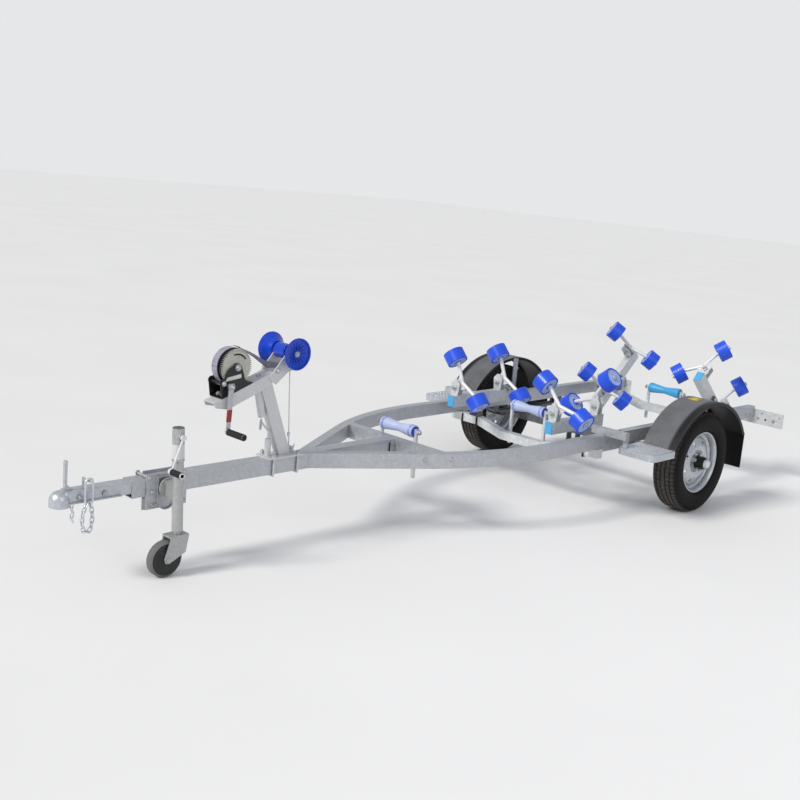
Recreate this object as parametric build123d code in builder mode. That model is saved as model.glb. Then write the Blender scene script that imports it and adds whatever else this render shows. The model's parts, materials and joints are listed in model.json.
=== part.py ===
"""Single axle boat trailer with tilting roller groups, winch post and swing-up jack.

Everything is laid out with the chassis level: X runs forward from the axle, Y to the left, Z up
from the ground below the axle.  The finished pieces are then pitched nose down by the small
angle at which the trailer stands on its jack, and the origin goes to the middle of its footprint.
"""
from math import atan2, cos, degrees, radians, sin, sqrt, tan
import os

from build123d import *

os.makedirs("parts", exist_ok=True)

# Stance
NOSE_DOWN = 1.07  # pitch of the chassis on its jack, degrees
GAP = 5.0  # clearance kept between pieces that move past each other
FIT = 0.05  # radial running fit of a pin in its bore
SEAT = 0.05  # film of zinc between faces that are bolted together

# Road wheels
AXLE_X = -5.6
TRACK = 1489.0
TYRE_R = 298.0
TYRE_W = 165.0
BEAD_R = 166.0
RIM_FLANGE_R = 181.0
RIM_W = 128.0
STUB_R = 17.0
HUB_R = 36.0
HUB_OUT = 120.0  # from the wheel's middle to the end of the dust cap

# Chassis tubes
RAIL_TOP = 468.5
RAIL_H = 75.0
RAIL_W = 50.0
RAIL_Y = 535.0  # outer face of the straight stretch
RAIL_BEND_R = 1560.0
RAIL_SPLAY = 30.0  # angle of the rails to the drawbar, degrees
RAIL_STRAIGHT_END = 1061.0  # where the bend runs into the straight stretch
RAIL_REAR = -1135.0
WALL = 4.0
DRAWBAR_W = 75.0
DRAWBAR_FRONT = 3312.0
CROSS_W = 50.0
CROSS_H = 50.0
CROSS_FRONT_X = 1732.0
CROSS_MIDDLE_X = 647.0
CROSS_REAR_X = -838.0
CROSS_DIP = 46.0  # how far the middle of a dipped cross member lies below its ends
CROSS_FLAT_HALF = 150.0
CROSS_RISE_END = 335.0
CROSS_REAR_LIFT = 38.0
CROSS_OVERHANG = 12.0

# Coupling
SOCKET_R = 25.4
NOSE_X = 3624.0  # centre of the ball socket
DOME_R = 44.0
COUPLER_T = 5.0
COUPLER_H = 50.0
COUPLER_FLANGE_X = 3362.0  # where the turned-out bottom edges begin
CHAIN_X = 3527.0
CHAIN_Y = 60.0
CHAIN_HOOK_Z = 40.0
CHAIN_FAR_X = 3535.0
CHAIN_FAR_Z = -46.0
RING_HALF = 17.0
RING_R = 4.5
LINK_R = 2.7
LINK_HALF_W = 8.0
LINK_HALF_L = 14.0

# Jack
JACK_X = 3153.0
JACK_Y = 138.0
JACK_LEAN = 1.8  # top forward, degrees
JACK_TUBE_R = 24.0
JACK_HEAD_R = 26.0
JACK_LEG_R = 19.0
JACK_PIVOT_DROP = 41.0  # below the rail top
JACK_TUBE_TOP = 103.0
JACK_HEAD_TOP = 240.0
JACK_TUBE_BOTTOM = -214.0
JACK_WHEEL_R = 80.0
JACK_WHEEL_W = 42.0
JACK_TRAIL = 64.0
JACK_PIN_R = 8.0
JACK_SPIGOT_R = 22.0
JACK_DISC_R = 44.0
JACK_DISC_Y = 62.0
JACK_CUP_HALF = 46.0
JACK_CUP_LOW = -96.0
JACK_PLATE_T = 8.0
JACK_CRANK_L = 148.0
JACK_CRANK_LEAN = 23.0
JACK_CRANK_Z = 203.0
JACK_GRIP_Y0 = 167.0
JACK_GRIP_Y1 = 254.0
GRIP_R = 13.0

# Winch post, arm, winch and bow roller
POST_LEAN = 21.0
POST_BASE_X = 2386.0
POST_BASE_L = 206.0
POST_BASE_W = 106.0
POST_BASE_T = 8.0
POST_W = 40.0
POST_D = 64.0
POST_FOOT_X = 2443.0
U_BOLT_R = 5.0
U_BOLT_Y = 45.0
ARM_SLOPE = 20.0
ARM_W = 80.0
ARM_TOP_X = 2912.0  # front edge of the arm's top face
ARM_TOP_Z = 298.0
ARM_REAR_X = 2590.0
ARM_WALL = 4.0
BOW_X = 2500.0
BOW_Z = 502.0
BOW_BELL_R = 75.0
BOW_WAIST_R = 36.5
BOW_HALF = 101.0
BOW_PIN_R = 10.0
GUIDE_X = 2480.0  # pin that the strap leaves over
GUIDE_Z = 426.0
PLATE_T = 6.0
DRUM_X = 2791.0
DRUM_Z = 450.0
DRUM_R = 30.0
WOUND_R = 84.0
WOUND_Y = (-46.0, -6.0)
WINCH_PLATE_Y = ((-53.0, -49.0), (34.0, 38.0))
GEAR_R = 83.0
GEAR_Y = 21.0
GEAR_T = 8.0
PINION_X = 2838.0
PINION_Z = 370.0
PINION_R = 8.0
CRANK_L = 202.0
CRANK_SWEEP = 10.0
CRANK_Y = 58.0
CRANK_T = 6.0
CRANK_GRIP_L = 118.0
STRAP_T = 3.0
ROPE_R = 2.5
CLAMP_HANDLE_X = 2566.0
CHEEK_BOLT = (2571.0, 422.0)
PLATE_BOLT = (2868.0, 384.0)
# Side outlines as X and height above the rails' top
BOW_CHEEK = (
    (2618, 386),
    (2575, 357),
    (2506, 412),
    (2470, 420),
    (2468, 436),
    (2484, 470),
    (2486, 512),
    (2500, 520),
    (2518, 514),
    (2530, 490),
)
POST_BRACE = ((2668, 380), (2632, 380), (2600, 202), (2624, 196))
WINCH_PLATE = (
    (2884, 392),
    (2876, 402),
    (2860, 404),
    (2842, 440),
    (2818, 457),
    (2800, 468),
    (2782, 468),
    (2768, 450),
    (2752, 404),
    (2742, 382),
)
WINCH_FOOT_X = (2704.0, 2872.0)

# Keel rollers
KEEL_L = 230.0
KEEL_END_R = 33.0
KEEL_WAIST_R = 22.0
KEEL_PIN_R = 8.0
KEEL_SET_BACK = 37.0
STEM_W = 16.0
STEM_BOTTOM = -195.0

# Rocker beams and wobble arms
BEAM_Y = 364.0
BEAM_W = 50.0
BEAM_H = 70.0
BEAM_L = 480.0
BEAM_PIVOT_FRONT_X = 655.0
BEAM_PIVOT_FRONT_Z = 37.0
BEAM_PIVOT_REAR_X = -827.0
BEAM_PIVOT_REAR_Z = 44.0
BEAM_REAR_TILT = 42.0
BEAM_PIN_R = 8.0
BEAM_SIDE_GAP = 2.0
MOUNT_BASE_T = 4.0
MOUNT_BASE_HALF = 23.0
ARM_PITCH = 391.0
ARM_PIVOT_H = 45.0  # arm pivot above the top of its beam
FORK_GAP = 15.5
FORK_W = 50.0
FORK_SHOULDER_W = 66.0
FORK_SHOULDER_H = 71.0
FORK_PEAK_H = 97.0
BOOM_ROD_R = 11.0
BOOM_RISE = 88.0
BOOM_VERTEX = 50.0
BOOM_KNEE = 112.0
ROLLER_Y = 156.0
ROLLER_R = 62.0
ROLLER_W = 74.0
ROLLER_WALL = 9.0

# Springs and axle
AXLE_W = 50.0
AXLE_HALF = 600.0
SPRING_Y = 510.0
SPRING_W = 50.0
SPRING_HALF = 330.0
LEAF_T = 8.0
LEAVES = 4
EYE_R = 15.0

# Mudguards, steps and lamp plates
GUARD_R = 460.0
GUARD_X = -29.0
GUARD_Z = 198.0
GUARD_W = 200.0
GUARD_T = 4.0
GUARD_LIP = 20.0
GUARD_REAR_ANGLE = 150.0
FLAP_BOTTOM = 218.0
STEP_TOP = 425.0
STEP_X0 = 352.0
STEP_X1 = 602.0
STEP_Y0 = 621.0
STEP_Y1 = 861.0
STEP_T = 3.0
STEP_LIP = 38.0
STEP_CORNER_R = 40.0
STEP_BAR_X = 588.0
STEP_BAR_W = 40.0
STEP_BAR_Y1 = 676.0
CLAMP_PLATE_X = (446.0, 618.0)
LAMP_T = 4.0
LAMP_H = 97.0
LAMP_Y0 = 440.0
LAMP_Y1 = 742.0
LAMP_TOP = -18.0

pieces = {}


def rail_z(height):
    """Height above the ground of a place given from the rails' top."""
    return RAIL_TOP + height


def wheel_z(radius, x):
    """Centre height of a wheel that touches the ground once the chassis is pitched."""
    return (radius + x * sin(radians(NOSE_DOWN))) / cos(radians(NOSE_DOWN))


def block(xs, ys, zs, mode=Mode.ADD):
    """Box between two X, two Y and two Z values."""
    with Locations(((xs[0] + xs[1]) / 2, (ys[0] + ys[1]) / 2, (zs[0] + zs[1]) / 2)):
        Box(abs(xs[1] - xs[0]), abs(ys[1] - ys[0]), abs(zs[1] - zs[0]), mode=mode)


def rod(start, end, radius, mode=Mode.ADD):
    """Round bar from one point to another."""
    start, end = Vector(*start), Vector(*end)
    with Locations(Plane(origin=start, z_dir=end - start)):
        Cylinder(radius, (end - start).length, align=(Align.CENTER, Align.CENTER, Align.MIN), mode=mode)


def side_plate(points, y0, y1, mode=Mode.ADD):
    """Plate with an outline in X and Z, from one Y to another."""
    with BuildSketch(Plane(origin=(0, max(y0, y1), 0), x_dir=(1, 0, 0), z_dir=(0, -1, 0))) as outline:
        with BuildLine():
            Polyline(*points, close=True)
        make_face()
    extrude(outline.sketch, amount=abs(y1 - y0), mode=mode)


def turned(profile, centre):
    """Solid turned about the Y axis through centre, from (y, radius) points."""
    with BuildSketch(Plane(origin=centre, x_dir=(0, 1, 0), z_dir=(-1, 0, 0))) as outline:
        with BuildLine():
            Polyline(*profile, close=True)
        make_face()
    revolve(outline.sketch, axis=Axis(centre, (0, 1, 0)))


def inner_y(x):
    """Y of the rails' inner face at x."""
    centre_y = RAIL_Y - RAIL_BEND_R
    if x <= RAIL_STRAIGHT_END:
        return RAIL_Y - RAIL_W
    return centre_y + sqrt((RAIL_BEND_R - RAIL_W) ** 2 - (x - RAIL_STRAIGHT_END) ** 2)


def bend_point(radius, angle):
    """Point of the rails' bend at a radius, angle degrees forward of the straight stretch."""
    return (
        RAIL_STRAIGHT_END + radius * sin(radians(angle)),
        RAIL_Y - RAIL_BEND_R + radius * cos(radians(angle)),
    )


def meets_drawbar(point, inset):
    """Where the splayed line through point comes within inset of the drawbar's side."""
    y = DRAWBAR_W / 2 + inset
    return (point[0] + (point[1] - y) / tan(radians(RAIL_SPLAY)), y)


def rail_plan(inset=0.0):
    """Plan of the left rail: splayed from the drawbar, bent, then straight to the rear."""
    outer, inner = RAIL_BEND_R - inset, RAIL_BEND_R - RAIL_W + inset
    rear = RAIL_REAR + inset
    outer_start, inner_start = bend_point(outer, RAIL_SPLAY), bend_point(inner, RAIL_SPLAY)
    outer_mid, inner_mid = bend_point(outer, RAIL_SPLAY / 2), bend_point(inner, RAIL_SPLAY / 2)
    outer_end, inner_end = bend_point(outer, 0), bend_point(inner, 0)
    with BuildSketch(mode=Mode.PRIVATE) as plan:
        with BuildLine():
            Line(meets_drawbar(outer_start, inset), outer_start)
            ThreePointArc(outer_start, outer_mid, outer_end)
            Line(outer_end, (rear, outer_end[1]))
            Line((rear, outer_end[1]), (rear, inner_end[1]))
            Line((rear, inner_end[1]), inner_end)
            ThreePointArc(inner_end, inner_mid, inner_start)
            Line(inner_start, meets_drawbar(inner_start, inset))
            Line(meets_drawbar(inner_start, inset), meets_drawbar(outer_start, inset))
        make_face()
    return plan.sketch


def make_rail():
    """Left chassis rail, a rectangular tube with capped ends."""
    with BuildPart() as rail:
        with BuildSketch(Plane.XY.offset(rail_z(-RAIL_H))):
            add(rail_plan())
        extrude(amount=RAIL_H)
        with BuildSketch(Plane.XY.offset(rail_z(WALL - RAIL_H))):
            add(rail_plan(WALL))
        extrude(amount=RAIL_H - 2 * WALL, mode=Mode.SUBTRACT)
    return rail.part


def make_drawbar():
    """Square drawbar tube, open at the front where the coupling slides in."""
    back = CROSS_FRONT_X + CROSS_W / 2
    half = DRAWBAR_W / 2
    with BuildPart() as drawbar:
        block((back, DRAWBAR_FRONT), (-half, half), (rail_z(-DRAWBAR_W), rail_z(0)))
        block(
            (back + WALL, DRAWBAR_FRONT),
            (WALL - half, half - WALL),
            (rail_z(WALL - DRAWBAR_W), rail_z(-WALL)),
            mode=Mode.SUBTRACT,
        )
    return drawbar.part


def make_front_cross_member():
    """Straight tube between the rails, level with their tops."""
    x0, x1 = CROSS_FRONT_X - CROSS_W / 2, CROSS_FRONT_X + CROSS_W / 2
    with BuildPart() as member:
        with BuildSketch(Plane.XY.offset(rail_z(-RAIL_H))):
            with BuildLine():
                y0, y1 = inner_y(x0), inner_y(x1)
                Polyline((x0, y0), (x1, y1), (x1, -y1), (x0, -y0), close=True)
            make_face()
        extrude(amount=RAIL_H)
        block(
            (x0 + WALL, x1 - WALL),
            (-inner_y(x1) + WALL, inner_y(x1) - WALL),
            (rail_z(WALL - RAIL_H), rail_z(-WALL)),
            mode=Mode.SUBTRACT,
        )
    return member.part


def make_dipped_member(x, top, half_length):
    """Cross member whose middle is bent down for the keel, top being the height of its ends."""

    def outline(inset):
        ridge = [
            (-half_length + inset, top - inset),
            (-CROSS_RISE_END, top - inset),
            (-CROSS_FLAT_HALF, top - CROSS_DIP - inset),
            (CROSS_FLAT_HALF, top - CROSS_DIP - inset),
            (CROSS_RISE_END, top - inset),
            (half_length - inset, top - inset),
        ]
        return ridge + [(y, z - CROSS_H + 2 * inset) for y, z in reversed(ridge)]

    x0 = x - CROSS_W / 2
    with BuildPart() as member:
        with BuildSketch(Plane(origin=(x0, 0, 0), x_dir=(0, 1, 0), z_dir=(1, 0, 0))):
            with BuildLine():
                Polyline(*outline(0), close=True)
            make_face()
        extrude(amount=CROSS_W)
        with BuildSketch(Plane(origin=(x0 + WALL, 0, 0), x_dir=(0, 1, 0), z_dir=(1, 0, 0))):
            with BuildLine():
                Polyline(*outline(WALL), close=True)
            make_face()
        extrude(amount=CROSS_W - 2 * WALL, mode=Mode.SUBTRACT)
    return member.part


def make_coupler():
    """Pressed ball coupling: channel in the drawbar, domed nose and ball socket."""
    half = DRAWBAR_W / 2 - WALL
    top = rail_z(-WALL)
    bottom = top - COUPLER_H
    with BuildPart() as coupler:
        block((DRAWBAR_FRONT - 90, NOSE_X - 20), (-half, half), (bottom, top))
        block(
            (DRAWBAR_FRONT - 90, NOSE_X - 40),
            (COUPLER_T - half, half - COUPLER_T),
            (bottom, top - COUPLER_T),
            mode=Mode.SUBTRACT,
        )
        for side in (-1, 1):
            flange = (side * half, side * (half + 10))
            block((COUPLER_FLANGE_X, NOSE_X - 10), flange, (bottom, bottom + COUPLER_T))
        with BuildSketch(Plane.XY.offset(bottom - 13)):
            with Locations((NOSE_X, 0)):
                Circle(DOME_R)
        extrude(amount=COUPLER_H - 27)
        with Locations((NOSE_X, 0, bottom + COUPLER_H - 40)):
            Sphere(DOME_R)
        block(
            (NOSE_X - 60, NOSE_X + 60), (-60, 60), (bottom - 80, bottom - 13), mode=Mode.SUBTRACT
        )
        socket_z = bottom + 8
        with Locations((NOSE_X, 0, socket_z)):
            Sphere(SOCKET_R, mode=Mode.SUBTRACT)
        with BuildSketch(Plane.XY.offset(bottom - 14)):
            with Locations((NOSE_X, 0)):
                Circle(SOCKET_R)
        extrude(amount=socket_z - bottom + 14, mode=Mode.SUBTRACT)
        hook = rail_z(CHAIN_HOOK_Z)
        rod((CHAIN_X, 12, top - 2), (CHAIN_X, 12, hook + 5), 5)
        rod((CHAIN_X, 12, hook), (CHAIN_X, CHAIN_Y + 9, hook), 5)
        far_z = rail_z(CHAIN_FAR_Z)
        rod((CHAIN_FAR_X, -half + 2, far_z), (CHAIN_FAR_X, -CHAIN_Y - 8, far_z), 4)
    return coupler.part


def make_coupler_latch():
    """Latch lever that stands up behind the dome."""
    top = rail_z(-WALL)
    outline = [
        (NOSE_X - 56, top + SEAT),
        (NOSE_X - 22, top + SEAT),
        (NOSE_X - 17, top + 14),
        (NOSE_X - 17, top + 120),
        (NOSE_X - 23, top + 128),
        (NOSE_X - 30, top + 125),
        (NOSE_X - 28, top + 28),
        (NOSE_X - 38, top + 14),
    ]
    with BuildPart() as latch:
        side_plate(outline, -7, 7)
    return latch.part


def make_link():
    """Chain link that lies along X and Y, about its own middle."""
    between = 2 * (LINK_HALF_L - LINK_HALF_W)
    with BuildPart() as link:
        with BuildSketch(Plane.XY.offset(-LINK_R)):
            SlotCenterToCenter(between, 2 * (LINK_HALF_W + LINK_R))
            SlotCenterToCenter(between, 2 * (LINK_HALF_W - LINK_R), mode=Mode.SUBTRACT)
        extrude(amount=2 * LINK_R)
        fillet(link.edges().group_by(Axis.Z)[0] + link.edges().group_by(Axis.Z)[-1], LINK_R - 0.1)
    return link.part


def make_ring():
    """Long ring that hangs on the coupling's hook and carries the near chain."""
    top, bottom = rail_z(CHAIN_HOOK_Z) - RING_HALF + 10.5, rail_z(-59) + RING_HALF
    middle = (CHAIN_X, CHAIN_Y + RING_R, (top + bottom) / 2)
    with BuildPart() as ring:
        with BuildSketch(Plane(origin=middle, x_dir=(0, 0, 1), z_dir=(0, -1, 0))):
            SlotCenterToCenter(top - bottom, 2 * (RING_HALF + RING_R))
            SlotCenterToCenter(top - bottom, 2 * (RING_HALF - RING_R), mode=Mode.SUBTRACT)
        extrude(amount=2 * RING_R)
        fillet(ring.edges().group_by(Axis.Y)[0] + ring.edges().group_by(Axis.Y)[-1], RING_R - 0.1)
    return ring.part


def hang_links(joints, y, first_upright):
    """Links between joints given as (x, height), turned a quarter from one to the next."""
    link = make_link()
    hung = []
    for index, ((x0, h0), (x1, h1)) in enumerate(zip(joints, joints[1:])):
        quarter = 90 if (index % 2 == 0) == first_upright else 0
        place = Location(((x0 + x1) / 2, y, rail_z((h0 + h1) / 2)))
        along = Rotation(0, -degrees(atan2(h1 - h0, x1 - x0)), 0)
        hung.append(place * along * Rotation(quarter, 0, 0) * link)
    return hung


def make_jack_mount():
    """Clamp plates on both sides of the drawbar, the cup round the swivel and its spigot."""
    half = DRAWBAR_W / 2
    near = half + JACK_PLATE_T
    z = rail_z(-JACK_PIVOT_DROP)
    with BuildPart() as mount:
        block((JACK_X - 109, JACK_X + 94), (half, near), (rail_z(-133), rail_z(20)))
        block((JACK_X - 109, JACK_X + 61), (-half - 6, -half), (rail_z(-162), rail_z(13)))
        for x, height in ((JACK_X + 82, 8), (JACK_X - 96, 8), (JACK_X + 50, -116), (JACK_X - 96, -116)):
            rod((x, -half - 16, rail_z(height)), (x, near + 8, rail_z(height)), 6)
        for x, height in ((JACK_X + 67, -58), (JACK_X + 67, -116)):
            rod((x, near, rail_z(height)), (x, near + 8, rail_z(height)), 7)
        for height in (-127, -156):
            rod((JACK_X + 37, -half, rail_z(height)), (JACK_X + 37, -half + 6, rail_z(height)), 6)
        x0, x1 = JACK_X - JACK_CUP_HALF, JACK_X + JACK_CUP_HALF
        low = rail_z(JACK_CUP_LOW)
        cup_y = JACK_DISC_Y - GAP
        block((x0, x1), (near, cup_y), (low, rail_z(9)))
        rod((JACK_X, near, low), (JACK_X, cup_y, low), JACK_CUP_HALF)
        block((x0 + WALL, x1 - WALL), (near + 3, cup_y), (low, rail_z(9 - WALL)), mode=Mode.SUBTRACT)
        rod((JACK_X, near + 3, low), (JACK_X, cup_y, low), JACK_CUP_HALF - WALL, mode=Mode.SUBTRACT)
        rod((JACK_X, near, z), (JACK_X, JACK_DISC_Y + 14, z), JACK_SPIGOT_R)
    return mount.part


def make_jack_tube():
    """Outer tube of the jack with its swivel disc and crank head."""
    z = rail_z(-JACK_PIVOT_DROP)
    with BuildPart() as tube:
        rod((JACK_X, JACK_Y, rail_z(JACK_TUBE_BOTTOM)), (JACK_X, JACK_Y, rail_z(JACK_TUBE_TOP)), JACK_TUBE_R)
        rod((JACK_X, JACK_Y, rail_z(JACK_TUBE_TOP)), (JACK_X, JACK_Y, rail_z(JACK_HEAD_TOP)), JACK_HEAD_R)
        rod((JACK_X, JACK_DISC_Y, z), (JACK_X, JACK_DISC_Y + 10, z), JACK_DISC_R)
        block((JACK_X - 20, JACK_X + 20), (JACK_DISC_Y + 10, JACK_Y), (z - 36, z + 36))
        rod((JACK_X, JACK_DISC_Y, z), (JACK_X, JACK_DISC_Y + 15, z), JACK_SPIGOT_R + FIT, mode=Mode.SUBTRACT)
        rod(
            (JACK_X, JACK_Y, rail_z(JACK_TUBE_BOTTOM)),
            (JACK_X, JACK_Y, rail_z(JACK_TUBE_TOP + 17)),
            JACK_LEG_R + FIT,
            mode=Mode.SUBTRACT,
        )
        hub_y = JACK_Y + JACK_HEAD_R
        crank_z = rail_z(JACK_CRANK_Z)
        rod((JACK_X, JACK_Y, crank_z), (JACK_X, hub_y + 4, crank_z), 15)
        rod((JACK_X, hub_y - 12, crank_z), (JACK_X, hub_y + 4, crank_z), 7 + FIT, mode=Mode.SUBTRACT)
    return tube.part


def make_jack_crank():
    """Crank on the side of the jack's head."""
    hub_y, z = JACK_Y + JACK_HEAD_R, rail_z(JACK_CRANK_Z)
    y0 = hub_y + 5
    tip_x = JACK_X + JACK_CRANK_L * sin(radians(JACK_CRANK_LEAN))
    tip_z = z - JACK_CRANK_L * cos(radians(JACK_CRANK_LEAN))
    with BuildPart() as crank:
        rod((JACK_X, hub_y - 10, z), (JACK_X, y0 + 2, z), 7)
        rod((JACK_X, y0, z), (JACK_X, y0 + 11, z), 12)
        rod((JACK_X, y0 + 5.5, z), (tip_x, y0 + 5.5, tip_z), 4.5)
        rod((tip_x, JACK_GRIP_Y0, tip_z), (tip_x, JACK_GRIP_Y1, tip_z), GRIP_R)
    return crank.part


def make_jack_leg():
    """Inner leg that slides in the jack's tube."""
    bottom = rail_z(JACK_TUBE_BOTTOM) - 12
    with BuildPart() as leg:
        rod((JACK_X, JACK_Y, bottom), (JACK_X, JACK_Y, rail_z(60)), JACK_LEG_R)
        rod((JACK_X, JACK_Y, bottom), (JACK_X, JACK_Y, bottom + 11), 12 + FIT, mode=Mode.SUBTRACT)
    return leg.part


def jack_wheel_centre():
    """Jack wheel's X and Z in the upright jack, on the ground once jack and chassis lean."""
    pivot = rail_z(-JACK_PIVOT_DROP)
    pitch, lean = radians(NOSE_DOWN), radians(NOSE_DOWN + JACK_LEAN)
    height = pivot * cos(pitch) - JACK_X * sin(pitch)
    return JACK_X + JACK_TRAIL, pivot + (JACK_WHEEL_R - height + JACK_TRAIL * sin(lean)) / cos(lean)


def make_jack_fork():
    """Fork that turns under the leg and carries the jack wheel."""
    top = rail_z(JACK_TUBE_BOTTOM) - 13
    wheel_x, wheel_height = jack_wheel_centre()
    inner = JACK_WHEEL_W / 2 + GAP
    cheek = [
        (JACK_X - 39, top - 8),
        (JACK_X + 52, top - 8),
        (JACK_X + 52, top - 16),
        (wheel_x + 19, wheel_height + 6),
        (wheel_x + 12, wheel_height - 13),
        (wheel_x - 6, wheel_height - 16),
        (JACK_X - 23, wheel_height + 20),
    ]
    with BuildPart() as fork:
        rod((JACK_X, JACK_Y, top - 4), (JACK_X, JACK_Y, top + 10), 12)
        block((JACK_X - 39, JACK_X + 52), (JACK_Y - inner - 6, JACK_Y + inner + 6), (top - 8, top))
        for side in (-1, 1):
            side_plate(cheek, JACK_Y + side * inner, JACK_Y + side * (inner + 6))
        rod(
            (wheel_x, JACK_Y - inner - 14, wheel_height),
            (wheel_x, JACK_Y + inner + 14, wheel_height),
            JACK_PIN_R,
        )
    return fork.part


def make_jack_wheel():
    """Solid rubber jack wheel with its dished sides."""
    wheel_x, wheel_height = jack_wheel_centre()
    half = JACK_WHEEL_W / 2
    with BuildPart() as wheel:
        turned(
            [
                (-half, JACK_PIN_R + FIT),
                (-half, 26),
                (-half + 9, 32),
                (-half + 9, 52),
                (-half, 58),
                (-half, JACK_WHEEL_R - 8),
                (-half + 8, JACK_WHEEL_R),
                (half - 8, JACK_WHEEL_R),
                (half, JACK_WHEEL_R - 8),
                (half, 58),
                (half - 9, 52),
                (half - 9, 32),
                (half, 26),
                (half, JACK_PIN_R + FIT),
            ],
            (wheel_x, JACK_Y, wheel_height),
        )
    return wheel.part


def arm_top(x):
    """Height of the inclined arm's top face above the rails' top."""
    return ARM_TOP_Z + (ARM_TOP_X - x) * tan(radians(ARM_SLOPE))


def make_winch_post():
    """Base plate, leaning post, brace, clamp handle, folded arm and the bow roller's cheeks."""
    slope = tan(radians(POST_LEAN))
    foot = POST_BASE_T
    depth = POST_D / cos(radians(POST_LEAN))

    def leans_to(x, height):
        return (x + slope * (height - foot), rail_z(height))

    def under_arm(x, drop):
        return (x, rail_z(arm_top(x) - drop))

    def outline(points):
        return [(x, rail_z(height)) for x, height in points]

    fall = tan(radians(ARM_SLOPE))
    rear_top = (arm_top(POST_FOOT_X) - 2) / (1 + slope * fall)
    front_top = rear_top - depth * fall / (1 + slope * fall)
    side_wall = [
        under_arm(ARM_TOP_X, 0),
        (ARM_TOP_X - 8, rail_z(276)),
        (ARM_TOP_X - 76, rail_z(264)),
        (ARM_REAR_X + 4, rail_z(355)),
        under_arm(ARM_REAR_X, 0),
    ]
    with BuildPart() as post:
        block(
            (POST_BASE_X, POST_BASE_X + POST_BASE_L),
            (-POST_BASE_W / 2, POST_BASE_W / 2),
            (rail_z(0), rail_z(foot)),
        )
        side_plate(
            [
                (POST_FOOT_X, rail_z(foot)),
                (POST_FOOT_X + depth, rail_z(foot)),
                leans_to(POST_FOOT_X + depth, front_top),
                leans_to(POST_FOOT_X, rear_top),
            ],
            -POST_W / 2,
            POST_W / 2,
        )
        side_plate(outline(POST_BRACE), -12, 12)
        side_plate(side_wall, -ARM_W / 2, ARM_W / 2)
        inside = [
            under_arm(ARM_TOP_X + 1, ARM_WALL),
            (ARM_TOP_X + 1, rail_z(240)),
            (ARM_REAR_X - 1, rail_z(240)),
            under_arm(ARM_REAR_X - 1, ARM_WALL),
        ]
        for y0, y1 in ((-ARM_W / 2 + ARM_WALL, -POST_W / 2), (POST_W / 2, ARM_W / 2 - ARM_WALL)):
            side_plate(inside, y0, y1, mode=Mode.SUBTRACT)
        brace_x = POST_BRACE[0][0]
        front_inside = [
            under_arm(ARM_TOP_X + 1, ARM_WALL),
            (ARM_TOP_X + 1, rail_z(240)),
            (brace_x, rail_z(240)),
            under_arm(brace_x, ARM_WALL),
        ]
        side_plate(front_inside, -POST_W / 2, POST_W / 2, mode=Mode.SUBTRACT)
        for side in (-1, 1):
            face = side * ARM_W / 2
            outer = side * (ARM_W / 2 + PLATE_T)
            bolt_x, bolt_z = CHEEK_BOLT[0], rail_z(CHEEK_BOLT[1])
            side_plate(outline(BOW_CHEEK), face, outer)
            rod((bolt_x, face, bolt_z), (bolt_x, outer + side * 6, bolt_z), 8)
        rod((GUIDE_X, -outer, rail_z(GUIDE_Z)), (GUIDE_X, outer, rail_z(GUIDE_Z)), 6)
        rod((BOW_X, -60, rail_z(BOW_Z)), (BOW_X, 60, rail_z(BOW_Z)), BOW_PIN_R + FIT, mode=Mode.SUBTRACT)
        for x in (POST_BASE_X + 30, POST_BASE_X + POST_BASE_L - 31):
            low = rail_z(-DRAWBAR_W - U_BOLT_R - 1)
            for side in (-1, 1):
                rod((x, side * U_BOLT_Y, low), (x, side * U_BOLT_Y, rail_z(foot + 16)), U_BOLT_R)
                rod((x, side * U_BOLT_Y, rail_z(foot)), (x, side * U_BOLT_Y, rail_z(foot + 8)), 9)
            rod((x, -U_BOLT_Y, low), (x, U_BOLT_Y, low), U_BOLT_R - 0.2)
        eye_x = POST_BASE_X + 36
        for side in (-1, 1):
            rod((eye_x, side * 9, rail_z(0)), (eye_x, side * 9, rail_z(37)), 4)
        rod((eye_x, -9, rail_z(34)), (eye_x, 9, rail_z(34)), 3.8)
        handle_x = CLAMP_HANDLE_X
        rod((handle_x, 0, rail_z(0)), (handle_x, 0, rail_z(90)), 15)
        rod((handle_x, 0, rail_z(88)), (handle_x, 0, rail_z(130)), 6)
        rod((handle_x, 0, rail_z(126)), (handle_x + 46, 0, rail_z(174)), 5)
        rod((handle_x + 37, -14, rail_z(180)), (handle_x + 74, 30, rail_z(150)), 6)
    return post.part


def make_bow_roller():
    """Two bells and a waist on one bolt, which turn together."""
    centre = (BOW_X, 0, rail_z(BOW_Z))
    cheek_in = ARM_W / 2
    cheek_out = cheek_in + PLATE_T
    with BuildPart() as roller:
        waist = cheek_in - 3
        turned([(-waist, 0), (-waist, BOW_WAIST_R), (waist, BOW_WAIST_R), (waist, 0)], centre)
        rod((BOW_X, -BOW_HALF + 8, centre[2]), (BOW_X, BOW_HALF - 8, centre[2]), BOW_PIN_R)
        for side in (-1, 1):
            turned(
                [
                    (side * (cheek_out + 3), 0),
                    (side * (cheek_out + 3), BOW_WAIST_R + 2),
                    (side * (cheek_out + 20), BOW_WAIST_R + 12),
                    (side * (cheek_out + 40), BOW_BELL_R - 10),
                    (side * (BOW_HALF - 6), BOW_BELL_R),
                    (side * BOW_HALF, BOW_BELL_R),
                    (side * BOW_HALF, BOW_BELL_R - 7),
                    (side * (BOW_HALF - 7), BOW_BELL_R - 10),
                    (side * (BOW_HALF - 14), BOW_WAIST_R),
                    (side * (BOW_HALF - 16), 0),
                ],
                centre,
            )
    return roller.part


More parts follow.
